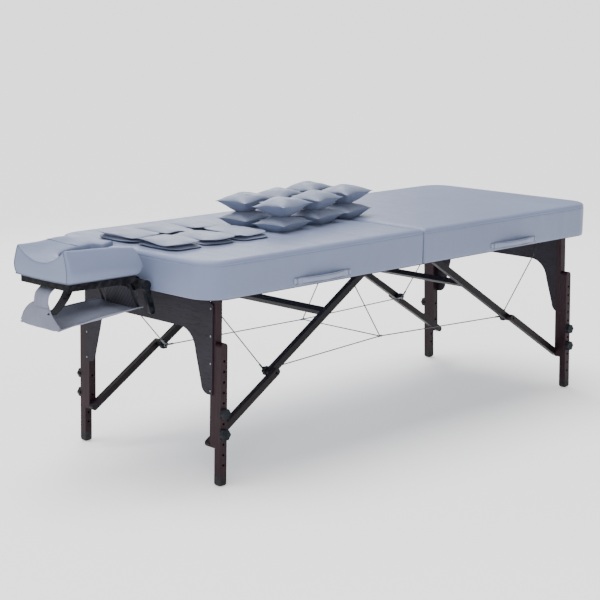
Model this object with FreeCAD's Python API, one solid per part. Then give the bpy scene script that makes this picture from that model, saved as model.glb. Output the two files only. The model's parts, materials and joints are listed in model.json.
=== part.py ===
import FreeCAD, Part
import math
import os

V = FreeCAD.Vector
X_AXIS, Y_AXIS, Z_AXIS = V(1, 0, 0), V(0, 1, 0), V(0, 0, 1)

# ---- driving dimensions, millimetres -------------------------------------------------------
# Table top: two padded halves hinged across the middle
TABLE_LENGTH = 1854.0
TABLE_WIDTH = 762.0
TABLE_HEIGHT = 691.0
SIDE_HEIGHT = 117.0
CORNER_RADIUS = 85.0
TOP_EDGE_ROUND = 14.0
MIDDLE_GAP = 3.0
COVER_THICKNESS = 2.0
COVER_HEM = 1.0
DECK_THICKNESS = 5.0
RAIL_HEIGHT = 57.0
RAIL_THICKNESS = 17.0
# Centre hinges under the rails
HINGE_DROP = 2.0
HINGE_PIN_RADIUS = 1.2
HINGE_BARREL_RADIUS = 2.5
HINGE_LEAF_WIDTH = 19.0
HINGE_LEAF_THICKNESS = 1.4
HINGE_LENGTH = 150.0
HINGE_SIDE_INSET = 146.0
HINGE_KNUCKLES = 5
HINGE_LEAF_SETBACK = 3.75
# Webbing carrying handles on the long sides
HANDLE_LENGTH = 245.0
HANDLE_PLACE = 467.0
HANDLE_BOW = 13.0
HANDLE_SLOPE = 26.0
HANDLE_WEBBING = 4.0
HANDLE_HEIGHT = 22.0
HANDLE_TAB = 32.0
HANDLE_LIFT = 9.0
# Leg sets
LEG_SPLAY = 1.5
LEG_INSET = 92.0
LEG_DEPTH = 26.0
LEG_AXIS_BELOW_TOP = 95.0
POST_WIDTH = 22.0
POST_BOTTOM = 115.0
LEG_PIN_RADIUS = 4.0
LEG_PIN_HEAD_RADIUS = 7.0
LEG_BLOCK_LENGTH = 22.0
EXTENSION_WIDTH = 26.0
EXTENSION_TOP = 438.0
HOLE_COUNT = 11
HOLE_PITCH = 31.75
TOP_HOLE = 383.0
HOLE_RADIUS = 4.3
KNOB_HOLES = (5, 7)
FOOT_HEIGHT = 30.0
FOOT_ROUND = 9.0
KNOB_RADIUS = 17.0
BRACE_KNOB_RADIUS = 15.0
KNOB_HEIGHT = 14.0
KNOB_LOBES = 6
KNOB_LOBE_RADIUS = 5.0
KNOB_LOBE_DEPTH = 2.0
STUD_RADIUS = 4.0
# Knee-arch end panels
PANEL_THICKNESS = 4.0
# Sideways places are taken in from the posts' outer faces, heights down from the underside
PANEL_EDGE_IN = 9.0
PANEL_TOP_DROP = 6.0
PANEL_SHOULDER_DROP = 25.0
PANEL_SHOULDER_IN = 53.0
PANEL_BOTTOM_DROP = 298.0
ARCH_TOP_DROP = 109.0
ARCH_FLAT_IN = 156.0
ARCH_SIDE_IN = 86.0
ARCH_SIDE_DROP = 174.0
ARCH_CORNER_BULGE = 18.0
ARCH_FOOT_IN = 59.0
ARCH_FOOT_DROP = 268.0
ARCH_TOE_IN = 25.0
ARCH_TOE_BULGE = -9.5
SCREWS_PER_POST = 4
SCREW_HEAD_RADIUS = 3.0
SCREW_HEAD_HEIGHT = 1.2
SCREW_RADIUS = 1.6
SCREW_LINE_IN = 16.0
SCREW_END_DISTANCE = 12.0
# Folding braces
BRACE_THICKNESS = 19.5
BRACE_DEPTH = 22.0
PIVOT_ABOVE_POST_END = 11.0
BRACE_TOP_X = 82.5
BRACE_DECK_GAP = 6.0
LOWER_BRACE_TAIL = 16.0
LOWER_BRACE_LAP = 16.0
CROSSBAR_PLACE = 295.7
CROSSBAR_DEPTH = 18.0
PIVOT_RADIUS = 4.0
PIVOT_HEAD_RADIUS = 8.0
PIVOT_HEAD_HEIGHT = 5.0
BRACE_BOLT_GRIP = 14.5
BRACKET_THICKNESS = 2.5
BRACKET_WIDTH = 30.0
BRACKET_FOOT = 20.0
# Steel cables
CABLE_RADIUS = 1.6
CABLE_MEET_IN = 71.4
CABLE_MEET_Z = 303.0
CABLE_ANCHOR_X = 30.0
END_CABLE_INSET = 47.0
FERRULE_RADIUS = 4.0
FERRULE_LENGTH = 24.0
# Face cradle at the head end
OUTLET_SPACING = 203.2
OUTLET_BELOW_TOP = 95.0
ROD_RADIUS = 8.0
OUTLET_MARGIN = 1.0
ROD_DEPTH = 87.0
PIVOT_REACH = 26.0
YOKE_RADIUS = 16.0
YOKE_LENGTH = 236.0
EAR_RADIUS = 22.0
EAR_WIDTH = 14.0
EAR_PLACE = 66.0
LEVER_LENGTH = 82.0
LEVER_WIDTH = 20.0
LEVER_THICKNESS = 12.0
LEVER_LEAN = 14.0
CRADLE_REAR = 54.0
CRADLE_FRONT = 315.0
CRADLE_REAR_HALF_WIDTH = 153.0
CRADLE_FRONT_HALF_WIDTH = 138.0
CRADLE_CORNER = 22.0
PLATFORM_BOTTOM = 612.0
PLATFORM_THICKNESS = 20.0
PLATFORM_INSET = 14.0
CUSHION_THICKNESS = 104.0
FACE_HOLE_HALF_WIDTH = 47.0
FACE_SLOT_HALF_WIDTH = 15.7
FACE_HOLE_LENGTH = 165.0
FACE_HOLE_PLACE = 158.0
BROW_DIP = 48.0
BROW_DIP_RADIUS = 165.0
BROW_DIP_RISE = 8.0
# Arm sling below the cradle
SLING_HALF_WIDTH = 98.0
SLING_THICKNESS = 6.0
SLING_FRONT = 322.0
SLING_REAR = 14.0
SLING_FRONT_Z = 490.0
SLING_REAR_Z = 514.0
SLING_LIP = 80.0
SLING_LIP_POINTS = 16
STRAP_HALF_WIDTH = 36.0
STRAP_THICKNESS = 3.0
STRAP_SET_IN = 36.0
STRAP_BELOW_LIP = 8.0
STRAP_SEWN = 12.0
REAR_STRAP_WIDTH = 15.0
# Loose pads lying on the head half
FLAT_PAD_X = 126.0
FLAT_PAD_Y = 192.0
FLAT_PAD_THICKNESS = 12.5
PAD_SEAM = 8.0
FLAT_MAT_START = 47.0
FLAT_MAT_SIDE = 222.0
PILLOW_X = 178.0
PILLOW_Y = 138.0
PILLOW_THICKNESS = 58.0
PILLOW_EDGE = 8.0
PILLOW_GAP = 0.5
PILLOW_MAT_Y = 106.0
PILLOW_TURN = 12.0
PAD_COLUMNS = 3
PAD_ROWS = 2
PAD_LAYERS = 2
PAD_SLOPE_SHARE = 0.25
LINK_WIDTH = 40.0
LINK_THICKNESS = 5.0
# Clearances
RUNNING_FIT = 0.05
SIDE_CLEARANCE = 0.3
SOFT_CLEARANCE = 0.3
FOLD_CLEARANCE = 0.4
# Cutters run this far past the faces they cut
OVERCUT = 1.0

# ---- sizes that follow ---------------------------------------------------------------------
HALF_LENGTH = TABLE_LENGTH / 2
HALF_WIDTH = TABLE_WIDTH / 2
UNDERSIDE = TABLE_HEIGHT - SIDE_HEIGHT
DECK_BOTTOM = UNDERSIDE + RAIL_HEIGHT
DECK_TOP = DECK_BOTTOM + DECK_THICKNESS
INNER_X = MIDDLE_GAP / 2 + COVER_THICKNESS
RAIL_INNER_Y = HALF_WIDTH - COVER_THICKNESS - RAIL_THICKNESS
HINGE_Z = UNDERSIDE - HINGE_DROP
LEG_X = HALF_LENGTH - LEG_INSET
LEG_Z = TABLE_HEIGHT - LEG_AXIS_BELOW_TOP
# Folded legs lie between the side rails, so the rails set how far out the leg knobs may stand
EXTENSION_OUTER_Y = RAIL_INNER_Y - FOLD_CLEARANCE - KNOB_HEIGHT - SIDE_CLEARANCE
EXTENSION_INNER_Y = EXTENSION_OUTER_Y - EXTENSION_WIDTH
POST_OUTER_Y = EXTENSION_INNER_Y - SIDE_CLEARANCE
POST_INNER_Y = POST_OUTER_Y - POST_WIDTH
LOWER_BRACE_OUTER_Y = POST_INNER_Y - SIDE_CLEARANCE
LOWER_BRACE_INNER_Y = LOWER_BRACE_OUTER_Y - BRACE_THICKNESS
UPPER_BRACE_OUTER_Y = LOWER_BRACE_INNER_Y - SIDE_CLEARANCE
UPPER_BRACE_INNER_Y = UPPER_BRACE_OUTER_Y - BRACE_THICKNESS
SPLAY = math.radians(LEG_SPLAY)
PIVOT_BELOW_AXIS = LEG_Z - POST_BOTTOM - PIVOT_ABOVE_POST_END
PIVOT_X = LEG_X + PIVOT_BELOW_AXIS * math.sin(SPLAY)
PIVOT_Z = LEG_Z - PIVOT_BELOW_AXIS * math.cos(SPLAY)
BRACE_TOP_Z = DECK_BOTTOM - BRACE_DEPTH / 2 - BRACE_DECK_GAP
# The two braces lie in one line when the leg is out. When it is folded level, the upper one lies level
# above it and the lower one reaches from the leg to its end
BRACE_SPAN = math.hypot(PIVOT_X - BRACE_TOP_X, BRACE_TOP_Z - PIVOT_Z)
FOLDED_SPAN = LEG_X - PIVOT_BELOW_AXIS - BRACE_TOP_X
FOLDED_RISE = BRACE_TOP_Z - LEG_Z
FOLDED_SQUARE = FOLDED_SPAN ** 2 + FOLDED_RISE ** 2
UPPER_BRACE_LENGTH = (BRACE_SPAN ** 2 - FOLDED_SQUARE) / (2 * (BRACE_SPAN - FOLDED_SPAN))
LOWER_BRACE_LENGTH = BRACE_SPAN - UPPER_BRACE_LENGTH
BRACE_ANGLE = math.atan2(BRACE_TOP_Z - PIVOT_Z, PIVOT_X - BRACE_TOP_X)
MIDDLE_JOINT_X = BRACE_TOP_X + UPPER_BRACE_LENGTH * math.cos(BRACE_ANGLE)
MIDDLE_JOINT_Z = BRACE_TOP_Z - UPPER_BRACE_LENGTH * math.sin(BRACE_ANGLE)
OUTLET_Z = TABLE_HEIGHT - OUTLET_BELOW_TOP
TILT_X = -(HALF_LENGTH + PIVOT_REACH)
CABLE_MEET_Y = UPPER_BRACE_INNER_Y - CABLE_MEET_IN
FLAT_MAT_END = HALF_LENGTH - FLAT_MAT_START - PAD_COLUMNS * FLAT_PAD_X - (PAD_COLUMNS - 1) * PAD_SEAM
CUSHION_BOTTOM = PLATFORM_BOTTOM + PLATFORM_THICKNESS + SOFT_CLEARANCE
# The origin lies on the floor under the middle of the whole object
REACH = HALF_LENGTH + CRADLE_FRONT
HINGE_X = (max(REACH, HALF_LENGTH + SLING_FRONT) - HALF_LENGTH) / 2

nodes = {}


def add(name, *solids):
    """Keep solids under a node's name; several calls with one name make a group."""
    nodes.setdefault(name, []).extend(solids)


def box(x0, x1, y0, y1, z0, z1):
    return Part.makeBox(x1 - x0, y1 - y0, z1 - z0, V(x0, y0, z0))


def across(x, z, y0, y1, radius):
    """A cylinder along Y."""
    return Part.makeCylinder(radius, y1 - y0, V(x, y0, z), Y_AXIS)


def mirrored(shape, axis):
    return shape.mirror(V(0, 0, 0), axis)


def both_sides(shape):
    """The near-side solid and its far-side twin."""
    return [mirrored(shape, Y_AXIS), shape]


def prism(points, direction):
    """A flat outline of points, extruded."""
    return Part.Face(Part.makePolygon(points + points[:1])).extrude(direction)


def outline(edges, direction):
    return Part.Face(Part.Wire(edges)).extrude(direction)


def line(a, b):
    return Part.LineSegment(a, b).toShape()


def arc(a, middle, b):
    return Part.Arc(a, middle, b).toShape()


# ---- table halves, made for the foot end and mirrored for the head end ----------------------
def half_plan(inset, z0, z1):
    """The rounded plan of one half, taken in by an inset and extruded."""
    x0 = MIDDLE_GAP / 2 + inset
    x1 = HALF_LENGTH - inset
    y = HALF_WIDTH - inset
    solid = box(x0, x1, -y, y, z0, z1)
    corners = [e for e in solid.Edges if e.BoundBox.ZLength > OVERCUT and e.BoundBox.XMin > x1 - OVERCUT]
    return solid.makeFillet(CORNER_RADIUS - inset, corners)


def round_top(solid, z1, radius):
    top = [e for e in solid.Edges if e.BoundBox.ZMin > z1 - RUNNING_FIT]
    return solid.makeFillet(radius, top)


def make_half(end):
    cover_bottom = UNDERSIDE + COVER_HEM
    skin_top = TABLE_HEIGHT - COVER_THICKNESS
    inner_round = TOP_EDGE_ROUND - COVER_THICKNESS
    outer = round_top(half_plan(0, cover_bottom, TABLE_HEIGHT), TABLE_HEIGHT, TOP_EDGE_ROUND)
    inner = round_top(half_plan(COVER_THICKNESS, cover_bottom - OVERCUT, skin_top), skin_top, inner_round)
    cover = outer.cut(inner)
    for side in (-1, 1):
        y = side * OUTLET_SPACING / 2
        hole = Part.makeCylinder(ROD_RADIUS + OUTLET_MARGIN, COVER_THICKNESS + 2 * OVERCUT,
                                 V(HALF_LENGTH - COVER_THICKNESS - OVERCUT, y, OUTLET_Z), X_AXIS)
        cover = cover.cut(hole)
    add(end + "_cover", cover)
    foam = round_top(half_plan(COVER_THICKNESS, DECK_TOP, skin_top), skin_top, inner_round)
    add(end + "_foam", foam)
    add(end + "_deck", half_plan(COVER_THICKNESS, DECK_BOTTOM, DECK_TOP))
    make_frame(end)
    make_handles(end)
    make_fittings(end)


def make_frame(end):
    """Side rails, centre rail, end rail with the rounded corners, and the leg blocks."""
    ring = half_plan(COVER_THICKNESS, UNDERSIDE, DECK_BOTTOM).cut(
        half_plan(COVER_THICKNESS + RAIL_THICKNESS, UNDERSIDE - OVERCUT, DECK_BOTTOM + OVERCUT))
    corner_x = HALF_LENGTH - CORNER_RADIUS
    middle = INNER_X + RAIL_THICKNESS
    end_rail = ring.common(box(corner_x, HALF_LENGTH, -HALF_WIDTH, HALF_WIDTH, UNDERSIDE, DECK_BOTTOM))
    for side in (-1, 1):
        bore = Part.makeCylinder(ROD_RADIUS + RUNNING_FIT, ROD_DEPTH,
                                 V(HALF_LENGTH - ROD_DEPTH, side * OUTLET_SPACING / 2, OUTLET_Z), X_AXIS)
        end_rail = end_rail.cut(bore)
    side_rail = box(INNER_X, corner_x, RAIL_INNER_Y, HALF_WIDTH - COVER_THICKNESS, UNDERSIDE, DECK_BOTTOM)
    centre_rail = box(INNER_X, middle, -RAIL_INNER_Y, RAIL_INNER_Y, UNDERSIDE, DECK_BOTTOM)
    block = box(LEG_X - LEG_BLOCK_LENGTH / 2, LEG_X + LEG_BLOCK_LENGTH / 2,
                EXTENSION_INNER_Y, RAIL_INNER_Y, LEG_Z - LEG_DEPTH / 2, DECK_BOTTOM)
    block = block.cut(across(LEG_X, LEG_Z, POST_INNER_Y, RAIL_INNER_Y, LEG_PIN_RADIUS)).cut(end_rail)
    add(end + "_frame", end_rail, centre_rail, *both_sides(side_rail), *both_sides(block))


def make_handles(end):
    y = HALF_WIDTH
    x0 = HANDLE_PLACE - HANDLE_LENGTH / 2
    x1 = HANDLE_PLACE + HANDLE_LENGTH / 2
    z = UNDERSIDE + HANDLE_LIFT
    bow = HANDLE_BOW
    web = HANDLE_WEBBING
    slope = HANDLE_SLOPE
    plan = [V(x0, y, z), V(x0 + HANDLE_TAB, y, z), V(x0 + HANDLE_TAB + slope, y + bow, z),
            V(x1 - HANDLE_TAB - slope, y + bow, z), V(x1 - HANDLE_TAB, y, z), V(x1, y, z),
            V(x1, y + web, z), V(x1 - HANDLE_TAB, y + web, z),
            V(x1 - HANDLE_TAB - slope, y + bow + web, z),
            V(x0 + HANDLE_TAB + slope, y + bow + web, z),
            V(x0 + HANDLE_TAB, y + web, z), V(x0, y + web, z)]
    add(end + "_handles", *both_sides(prism(plan, V(0, 0, HANDLE_HEIGHT))))


def make_fittings(end):
    """Leg pins, and the brackets and bolts that the upper braces turn on."""
    pin = across(LEG_X, LEG_Z, POST_INNER_Y - SIDE_CLEARANCE, RAIL_INNER_Y, LEG_PIN_RADIUS)
    head = across(LEG_X, LEG_Z, POST_INNER_Y - SIDE_CLEARANCE - PIVOT_HEAD_HEIGHT,
                  POST_INNER_Y - SIDE_CLEARANCE, LEG_PIN_HEAD_RADIUS)
    x0 = BRACE_TOP_X - BRACKET_WIDTH / 2
    x1 = BRACE_TOP_X + BRACKET_WIDTH / 2
    y0 = UPPER_BRACE_OUTER_Y + SIDE_CLEARANCE
    plate = box(x0, x1, y0, y0 + BRACKET_THICKNESS, BRACE_TOP_Z - BRACE_DEPTH / 2, DECK_BOTTOM)
    flange = box(x0, x1, y0, y0 + BRACKET_FOOT, DECK_BOTTOM - BRACKET_THICKNESS, DECK_BOTTOM)
    bracket = plate.fuse(flange).removeSplitter()
    bracket = bracket.cut(across(BRACE_TOP_X, BRACE_TOP_Z, y0 - OVERCUT, y0 + BRACKET_FOOT, PIVOT_RADIUS))
    inner = UPPER_BRACE_INNER_Y - SIDE_CLEARANCE
    bolt = across(BRACE_TOP_X, BRACE_TOP_Z, inner, y0 + BRACKET_THICKNESS, PIVOT_RADIUS)
    bolt = bolt.fuse(across(BRACE_TOP_X, BRACE_TOP_Z, inner - PIVOT_HEAD_HEIGHT, inner, PIVOT_HEAD_RADIUS))
    add(end + "_brackets", *both_sides(pin.fuse(head)), *both_sides(bracket), *both_sides(bolt))


# ---- leg sets -------------------------------------------------------------------------------
def splayed(shape):
    """A leg piece is drawn upright below its pin, then leans out by the splay."""
    return shape.rotate(V(LEG_X, 0, LEG_Z), Y_AXIS, -LEG_SPLAY)


def leg_bar(y0, y1, z0, z1, round_end):
    """An upright bar on the leg line with one end rounded."""
    radius = LEG_DEPTH / 2
    bar = box(LEG_X - radius, LEG_X + radius, y0, y1, z0, z1 - (radius if round_end else 0))
    if round_end:
        bar = bar.fuse(across(LEG_X, z1 - radius, y0, y1, radius)).removeSplitter()
    return bar


def knob_heights():
    return [TOP_HOLE - HOLE_PITCH * hole for hole in KNOB_HOLES]


def make_posts(end):
    post = leg_bar(POST_INNER_Y, POST_OUTER_Y, POST_BOTTOM, LEG_Z + LEG_DEPTH / 2, True)
    y0 = POST_INNER_Y - OVERCUT
    y1 = POST_OUTER_Y + OVERCUT
    post = post.cut(across(LEG_X, LEG_Z, y0, y1, LEG_PIN_RADIUS + RUNNING_FIT))
    brace_z = LEG_Z - PIVOT_BELOW_AXIS
    bolt_end = POST_INNER_Y + BRACE_BOLT_GRIP
    post = post.cut(across(LEG_X, brace_z, y0, bolt_end, PIVOT_RADIUS))
    for z in knob_heights():
        post = post.cut(across(LEG_X, z, y0, y1, HOLE_RADIUS))
    add(end + "_posts", *both_sides(splayed(post)))
    bolt = across(LEG_X, brace_z, LOWER_BRACE_INNER_Y, bolt_end, PIVOT_RADIUS)
    head_end = LOWER_BRACE_INNER_Y + PIVOT_HEAD_HEIGHT
    bolt = bolt.fuse(across(LEG_X, brace_z, LOWER_BRACE_INNER_Y, head_end, PIVOT_HEAD_RADIUS))
    add(end + "_pivot_bolts", *both_sides(splayed(bolt)))


def bulged(a, b, bulge):
    """An arc between two points of a plane across X, pushed out from its chord."""
    chord = b - a
    out = V(0, -chord.z, chord.y).normalize()
    if out.z * bulge < 0:
        out = out * -1
    return arc(a, (a + b) * 0.5 + out * abs(bulge), b)


def panel_side(x, s):
    """The panel's outline on one side, from the middle of the arch to the middle of the top."""
    def at(inset, drop):
        return V(x, s * (POST_OUTER_Y - inset), UNDERSIDE - drop)
    flat = at(ARCH_FLAT_IN, ARCH_TOP_DROP)
    turn = at(ARCH_SIDE_IN, ARCH_SIDE_DROP)
    foot = at(ARCH_FOOT_IN, ARCH_FOOT_DROP)
    toe = at(ARCH_TOE_IN, PANEL_BOTTOM_DROP)
    low_edge = at(PANEL_EDGE_IN, PANEL_BOTTOM_DROP)
    high_edge = at(PANEL_EDGE_IN, PANEL_SHOULDER_DROP)
    shoulder = at(PANEL_SHOULDER_IN, PANEL_TOP_DROP)
    return [
        line(at(POST_OUTER_Y, ARCH_TOP_DROP), flat),
        bulged(flat, turn, ARCH_CORNER_BULGE),
        line(turn, foot),
        bulged(foot, toe, ARCH_TOE_BULGE),
        line(toe, low_edge),
        line(low_edge, high_edge),
        line(high_edge, shoulder),
        line(shoulder, at(POST_OUTER_Y, PANEL_TOP_DROP)),
    ]


def make_panel(end):
    x = LEG_X + LEG_DEPTH / 2
    right = panel_side(x, 1)
    left = panel_side(x, -1)
    panel = outline(Part.sortEdges(right + left)[0], V(PANEL_THICKNESS, 0, 0))
    low = UNDERSIDE - PANEL_BOTTOM_DROP + SCREW_END_DISTANCE
    high = UNDERSIDE - PANEL_SHOULDER_DROP - SCREW_END_DISTANCE
    for i in range(SCREWS_PER_POST):
        z = low + (high - low) * i / (SCREWS_PER_POST - 1)
        for side in (-1, 1):
            place = V(x, side * (POST_OUTER_Y - SCREW_LINE_IN), z)
            panel = panel.cut(Part.makeCylinder(SCREW_RADIUS, PANEL_THICKNESS, place, X_AXIS))
            shank = Part.makeCylinder(SCREW_RADIUS, PANEL_THICKNESS, place, X_AXIS)
            head = Part.makeCylinder(SCREW_HEAD_RADIUS, SCREW_HEAD_HEIGHT, place + V(PANEL_THICKNESS, 0, 0),
                                     X_AXIS)
            add(end + "_panel_screws", splayed(shank.fuse(head)))
    add(end + "_panel", splayed(panel))


def knob(x, z, y, reach, radius, inward):
    """A lobed grip with its stud; the grip stands off from y and the stud goes the other way."""
    grip = across(x, z, y, y + KNOB_HEIGHT, radius - KNOB_LOBE_DEPTH)
    lobe_ring = radius - KNOB_LOBE_RADIUS
    for i in range(KNOB_LOBES):
        turn = 2 * math.pi * i / KNOB_LOBES
        lobe = across(x + lobe_ring * math.cos(turn), z + lobe_ring * math.sin(turn),
                      y, y + KNOB_HEIGHT, KNOB_LOBE_RADIUS)
        grip = grip.fuse(lobe)
    stud = across(x, z, y - reach, y, STUD_RADIUS)
    shape = grip.removeSplitter().fuse(stud)
    if inward:
        shape = shape.rotate(V(x, y, z), Z_AXIS, 180)
    return shape


def make_extension(end, side_name, side):
    bar = leg_bar(EXTENSION_INNER_Y, EXTENSION_OUTER_Y, FOOT_HEIGHT, EXTENSION_TOP, True)
    for hole in range(HOLE_COUNT):
        z = TOP_HOLE - HOLE_PITCH * hole
        bar = bar.cut(across(LEG_X, z, EXTENSION_INNER_Y - OVERCUT, EXTENSION_OUTER_Y + OVERCUT, HOLE_RADIUS))
    foot = leg_bar(EXTENSION_INNER_Y, EXTENSION_OUTER_Y, 0, FOOT_HEIGHT, False)
    foot = foot.makeFillet(FOOT_ROUND, [e for e in foot.Edges if e.BoundBox.ZMax < RUNNING_FIT])
    foot = foot.translate(V(0, 0, -SIDE_CLEARANCE))
    bar = bar.fuse(box(LEG_X - LEG_DEPTH / 2, LEG_X + LEG_DEPTH / 2, EXTENSION_INNER_Y, EXTENSION_OUTER_Y,
                       FOOT_HEIGHT - SIDE_CLEARANCE, FOOT_HEIGHT)).removeSplitter()
    foot = splayed(foot).common(box(0, 2 * HALF_LENGTH, 0, TABLE_WIDTH, 0, TABLE_HEIGHT))
    name = end + "_" + side_name
    pieces = {name + "_extension": splayed(bar), name + "_rubber_foot": foot}
    for label, z in zip(("upper", "lower"), knob_heights()):
        grip = knob(LEG_X, z, EXTENSION_OUTER_Y + SIDE_CLEARANCE, EXTENSION_WIDTH + SIDE_CLEARANCE,
                    KNOB_RADIUS, False)
        pieces[name + "_" + label + "_knob"] = splayed(grip)
    for key, shape in pieces.items():
        add(key, mirrored(shape, Y_AXIS) if side < 0 else shape)


# ---- braces ---------------------------------------------------------------------------------
def brace_bar(start, length, before, after, y0, y1, bores):
    """A bar with rounded ends lying along the brace line from a start point, with bores across it."""
    radius = BRACE_DEPTH / 2
    x0 = start.x - before + radius
    x1 = start.x + length + after - radius
    bar = box(x0, x1, y0, y1, start.z - radius, start.z + radius)
    for x in (x0, x1):
        bar = bar.fuse(across(x, start.z, y0, y1, radius))
    bar = bar.removeSplitter()
    for place, bore, depth in bores:
        bar = bar.cut(across(start.x + place, start.z, y0 - OVERCUT, y0 + depth, bore))
    return bar.rotate(V(start.x, 0, start.z), Y_AXIS, math.degrees(BRACE_ANGLE))


def make_braces(end):
    top = V(BRACE_TOP_X, 0, BRACE_TOP_Z)
    middle = V(MIDDLE_JOINT_X, 0, MIDDLE_JOINT_Z)
    fit = PIVOT_RADIUS + RUNNING_FIT
    through = BRACE_THICKNESS + OVERCUT
    upper = brace_bar(top, UPPER_BRACE_LENGTH, BRACE_DEPTH / 2, BRACE_DEPTH / 2, UPPER_BRACE_INNER_Y,
                      UPPER_BRACE_OUTER_Y,
                      [(0, fit, through), (UPPER_BRACE_LENGTH, STUD_RADIUS + RUNNING_FIT, through)])
    lower = brace_bar(middle, LOWER_BRACE_LENGTH, LOWER_BRACE_LAP, LOWER_BRACE_TAIL, LOWER_BRACE_INNER_Y,
                      LOWER_BRACE_OUTER_Y,
                      [(0, fit, through), (LOWER_BRACE_LENGTH, fit, through),
                       (LOWER_BRACE_LENGTH, PIVOT_HEAD_RADIUS + RUNNING_FIT,
                        PIVOT_HEAD_HEIGHT + RUNNING_FIT)])
    cross = box(top.x + CROSSBAR_PLACE, top.x + CROSSBAR_PLACE + BRACE_DEPTH, -UPPER_BRACE_INNER_Y,
                UPPER_BRACE_INNER_Y, top.z - CROSSBAR_DEPTH / 2, top.z + CROSSBAR_DEPTH / 2)
    cross = cross.rotate(top, Y_AXIS, math.degrees(BRACE_ANGLE))
    add(end + "_upper_braces", *both_sides(upper))
    add(end + "_lower_braces", *both_sides(lower))
    add(end + "_crossbar", cross)
    grip = knob(MIDDLE_JOINT_X, MIDDLE_JOINT_Z, UPPER_BRACE_INNER_Y - SIDE_CLEARANCE,
                BRACE_THICKNESS + SIDE_CLEARANCE, BRACE_KNOB_RADIUS, True)
    add(end + "_far_brace_knob", grip)
    add(end + "_near_brace_knob", mirrored(grip, Y_AXIS))


# ---- centre hinges --------------------------------------------------------------------------
def make_hinges():
    """Two butt hinges on one line: alternate knuckles on the two leaves, and the loose pins."""
    knuckle = HINGE_LENGTH / HINGE_KNUCKLES
    gap = SIDE_CLEARANCE / 2
    leaf_bottom = UNDERSIDE - HINGE_LEAF_THICKNESS
    for side in (-1, 1):
        y0 = side * (HALF_WIDTH - HINGE_SIDE_INSET) - HINGE_LENGTH / 2
        pin = across(0, HINGE_Z, y0 + gap, y0 + HINGE_LENGTH - gap, HINGE_PIN_RADIUS)
        add("hinge_pins", pin)
        for end, s, first in (("foot", 1, 0), ("head", -1, 1)):
            near = s * HINGE_LEAF_SETBACK
            far = s * (HINGE_LEAF_SETBACK + HINGE_LEAF_WIDTH)
            leaf = box(min(near, far), max(near, far), y0, y0 + HINGE_LENGTH, leaf_bottom, UNDERSIDE)
            for i in range(first, HINGE_KNUCKLES, 2):
                k0 = y0 + knuckle * i + gap
                k1 = y0 + knuckle * (i + 1) - gap
                arm = box(min(0, near), max(0, near), k0, k1, leaf_bottom, UNDERSIDE)
                barrel = across(0, HINGE_Z, k0, k1, HINGE_BARREL_RADIUS)
                leaf = leaf.fuse(arm).fuse(barrel)
            bore = across(0, HINGE_Z, y0 - OVERCUT, y0 + HINGE_LENGTH + OVERCUT,
                          HINGE_PIN_RADIUS + RUNNING_FIT)
            add(end + "_hinge_leaves", leaf.removeSplitter().cut(bore))


# ---- steel cables ---------------------------------------------------------------------------
def rod(a, b, radius):
    return Part.makeCylinder(radius, a.distanceToPoint(b), a, b - a)


def make_cables():
    """On each side, cables from the brace joints meet below the hinge line, and two tie up to its middle."""
    inner = UPPER_BRACE_INNER_Y - KNOB_HEIGHT - 2 * SIDE_CLEARANCE - FERRULE_RADIUS
    eye = V(-CABLE_ANCHOR_X, 0, LEG_Z)
    rail_face = -(INNER_X + RAIL_THICKNESS)
    centre = box(eye.x - FERRULE_RADIUS, rail_face, -2 * FERRULE_RADIUS, 2 * FERRULE_RADIUS,
                 eye.z - FERRULE_RADIUS, eye.z + FERRULE_RADIUS)
    for side in (-1, 1):
        meet = V(0, side * CABLE_MEET_Y, CABLE_MEET_Z)
        net = Part.makeSphere(FERRULE_RADIUS, meet)
        for s in (-1, 1):
            joint = V(s * MIDDLE_JOINT_X, side * inner, MIDDLE_JOINT_Z)
            anchor = V(s * (HALF_LENGTH - END_CABLE_INSET), side * inner, DECK_BOTTOM + CABLE_RADIUS)
            net = net.fuse(rod(meet, joint, CABLE_RADIUS)).fuse(rod(joint, anchor, CABLE_RADIUS))
            for target in (meet, anchor):
                along = V(target - joint).normalize()
                net = net.fuse(rod(joint, joint + along * FERRULE_LENGTH, FERRULE_RADIUS))
        below_deck = box(-HALF_LENGTH, HALF_LENGTH, -HALF_WIDTH, HALF_WIDTH, 0, DECK_BOTTOM)
        add("side_cables", net.common(below_deck))
        start = meet + V(eye - meet).normalize() * FERRULE_RADIUS
        centre = centre.fuse(rod(start, eye, CABLE_RADIUS))
    span = CABLE_MEET_Y - FERRULE_RADIUS
    add("centre_cables", centre, across(0, CABLE_MEET_Z, -span, span, CABLE_RADIUS))


# ---- face cradle ----------------------------------------------------------------------------
def from_end(distance):
    """A place beyond the head end of the table."""
    return -(HALF_LENGTH + distance)


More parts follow.
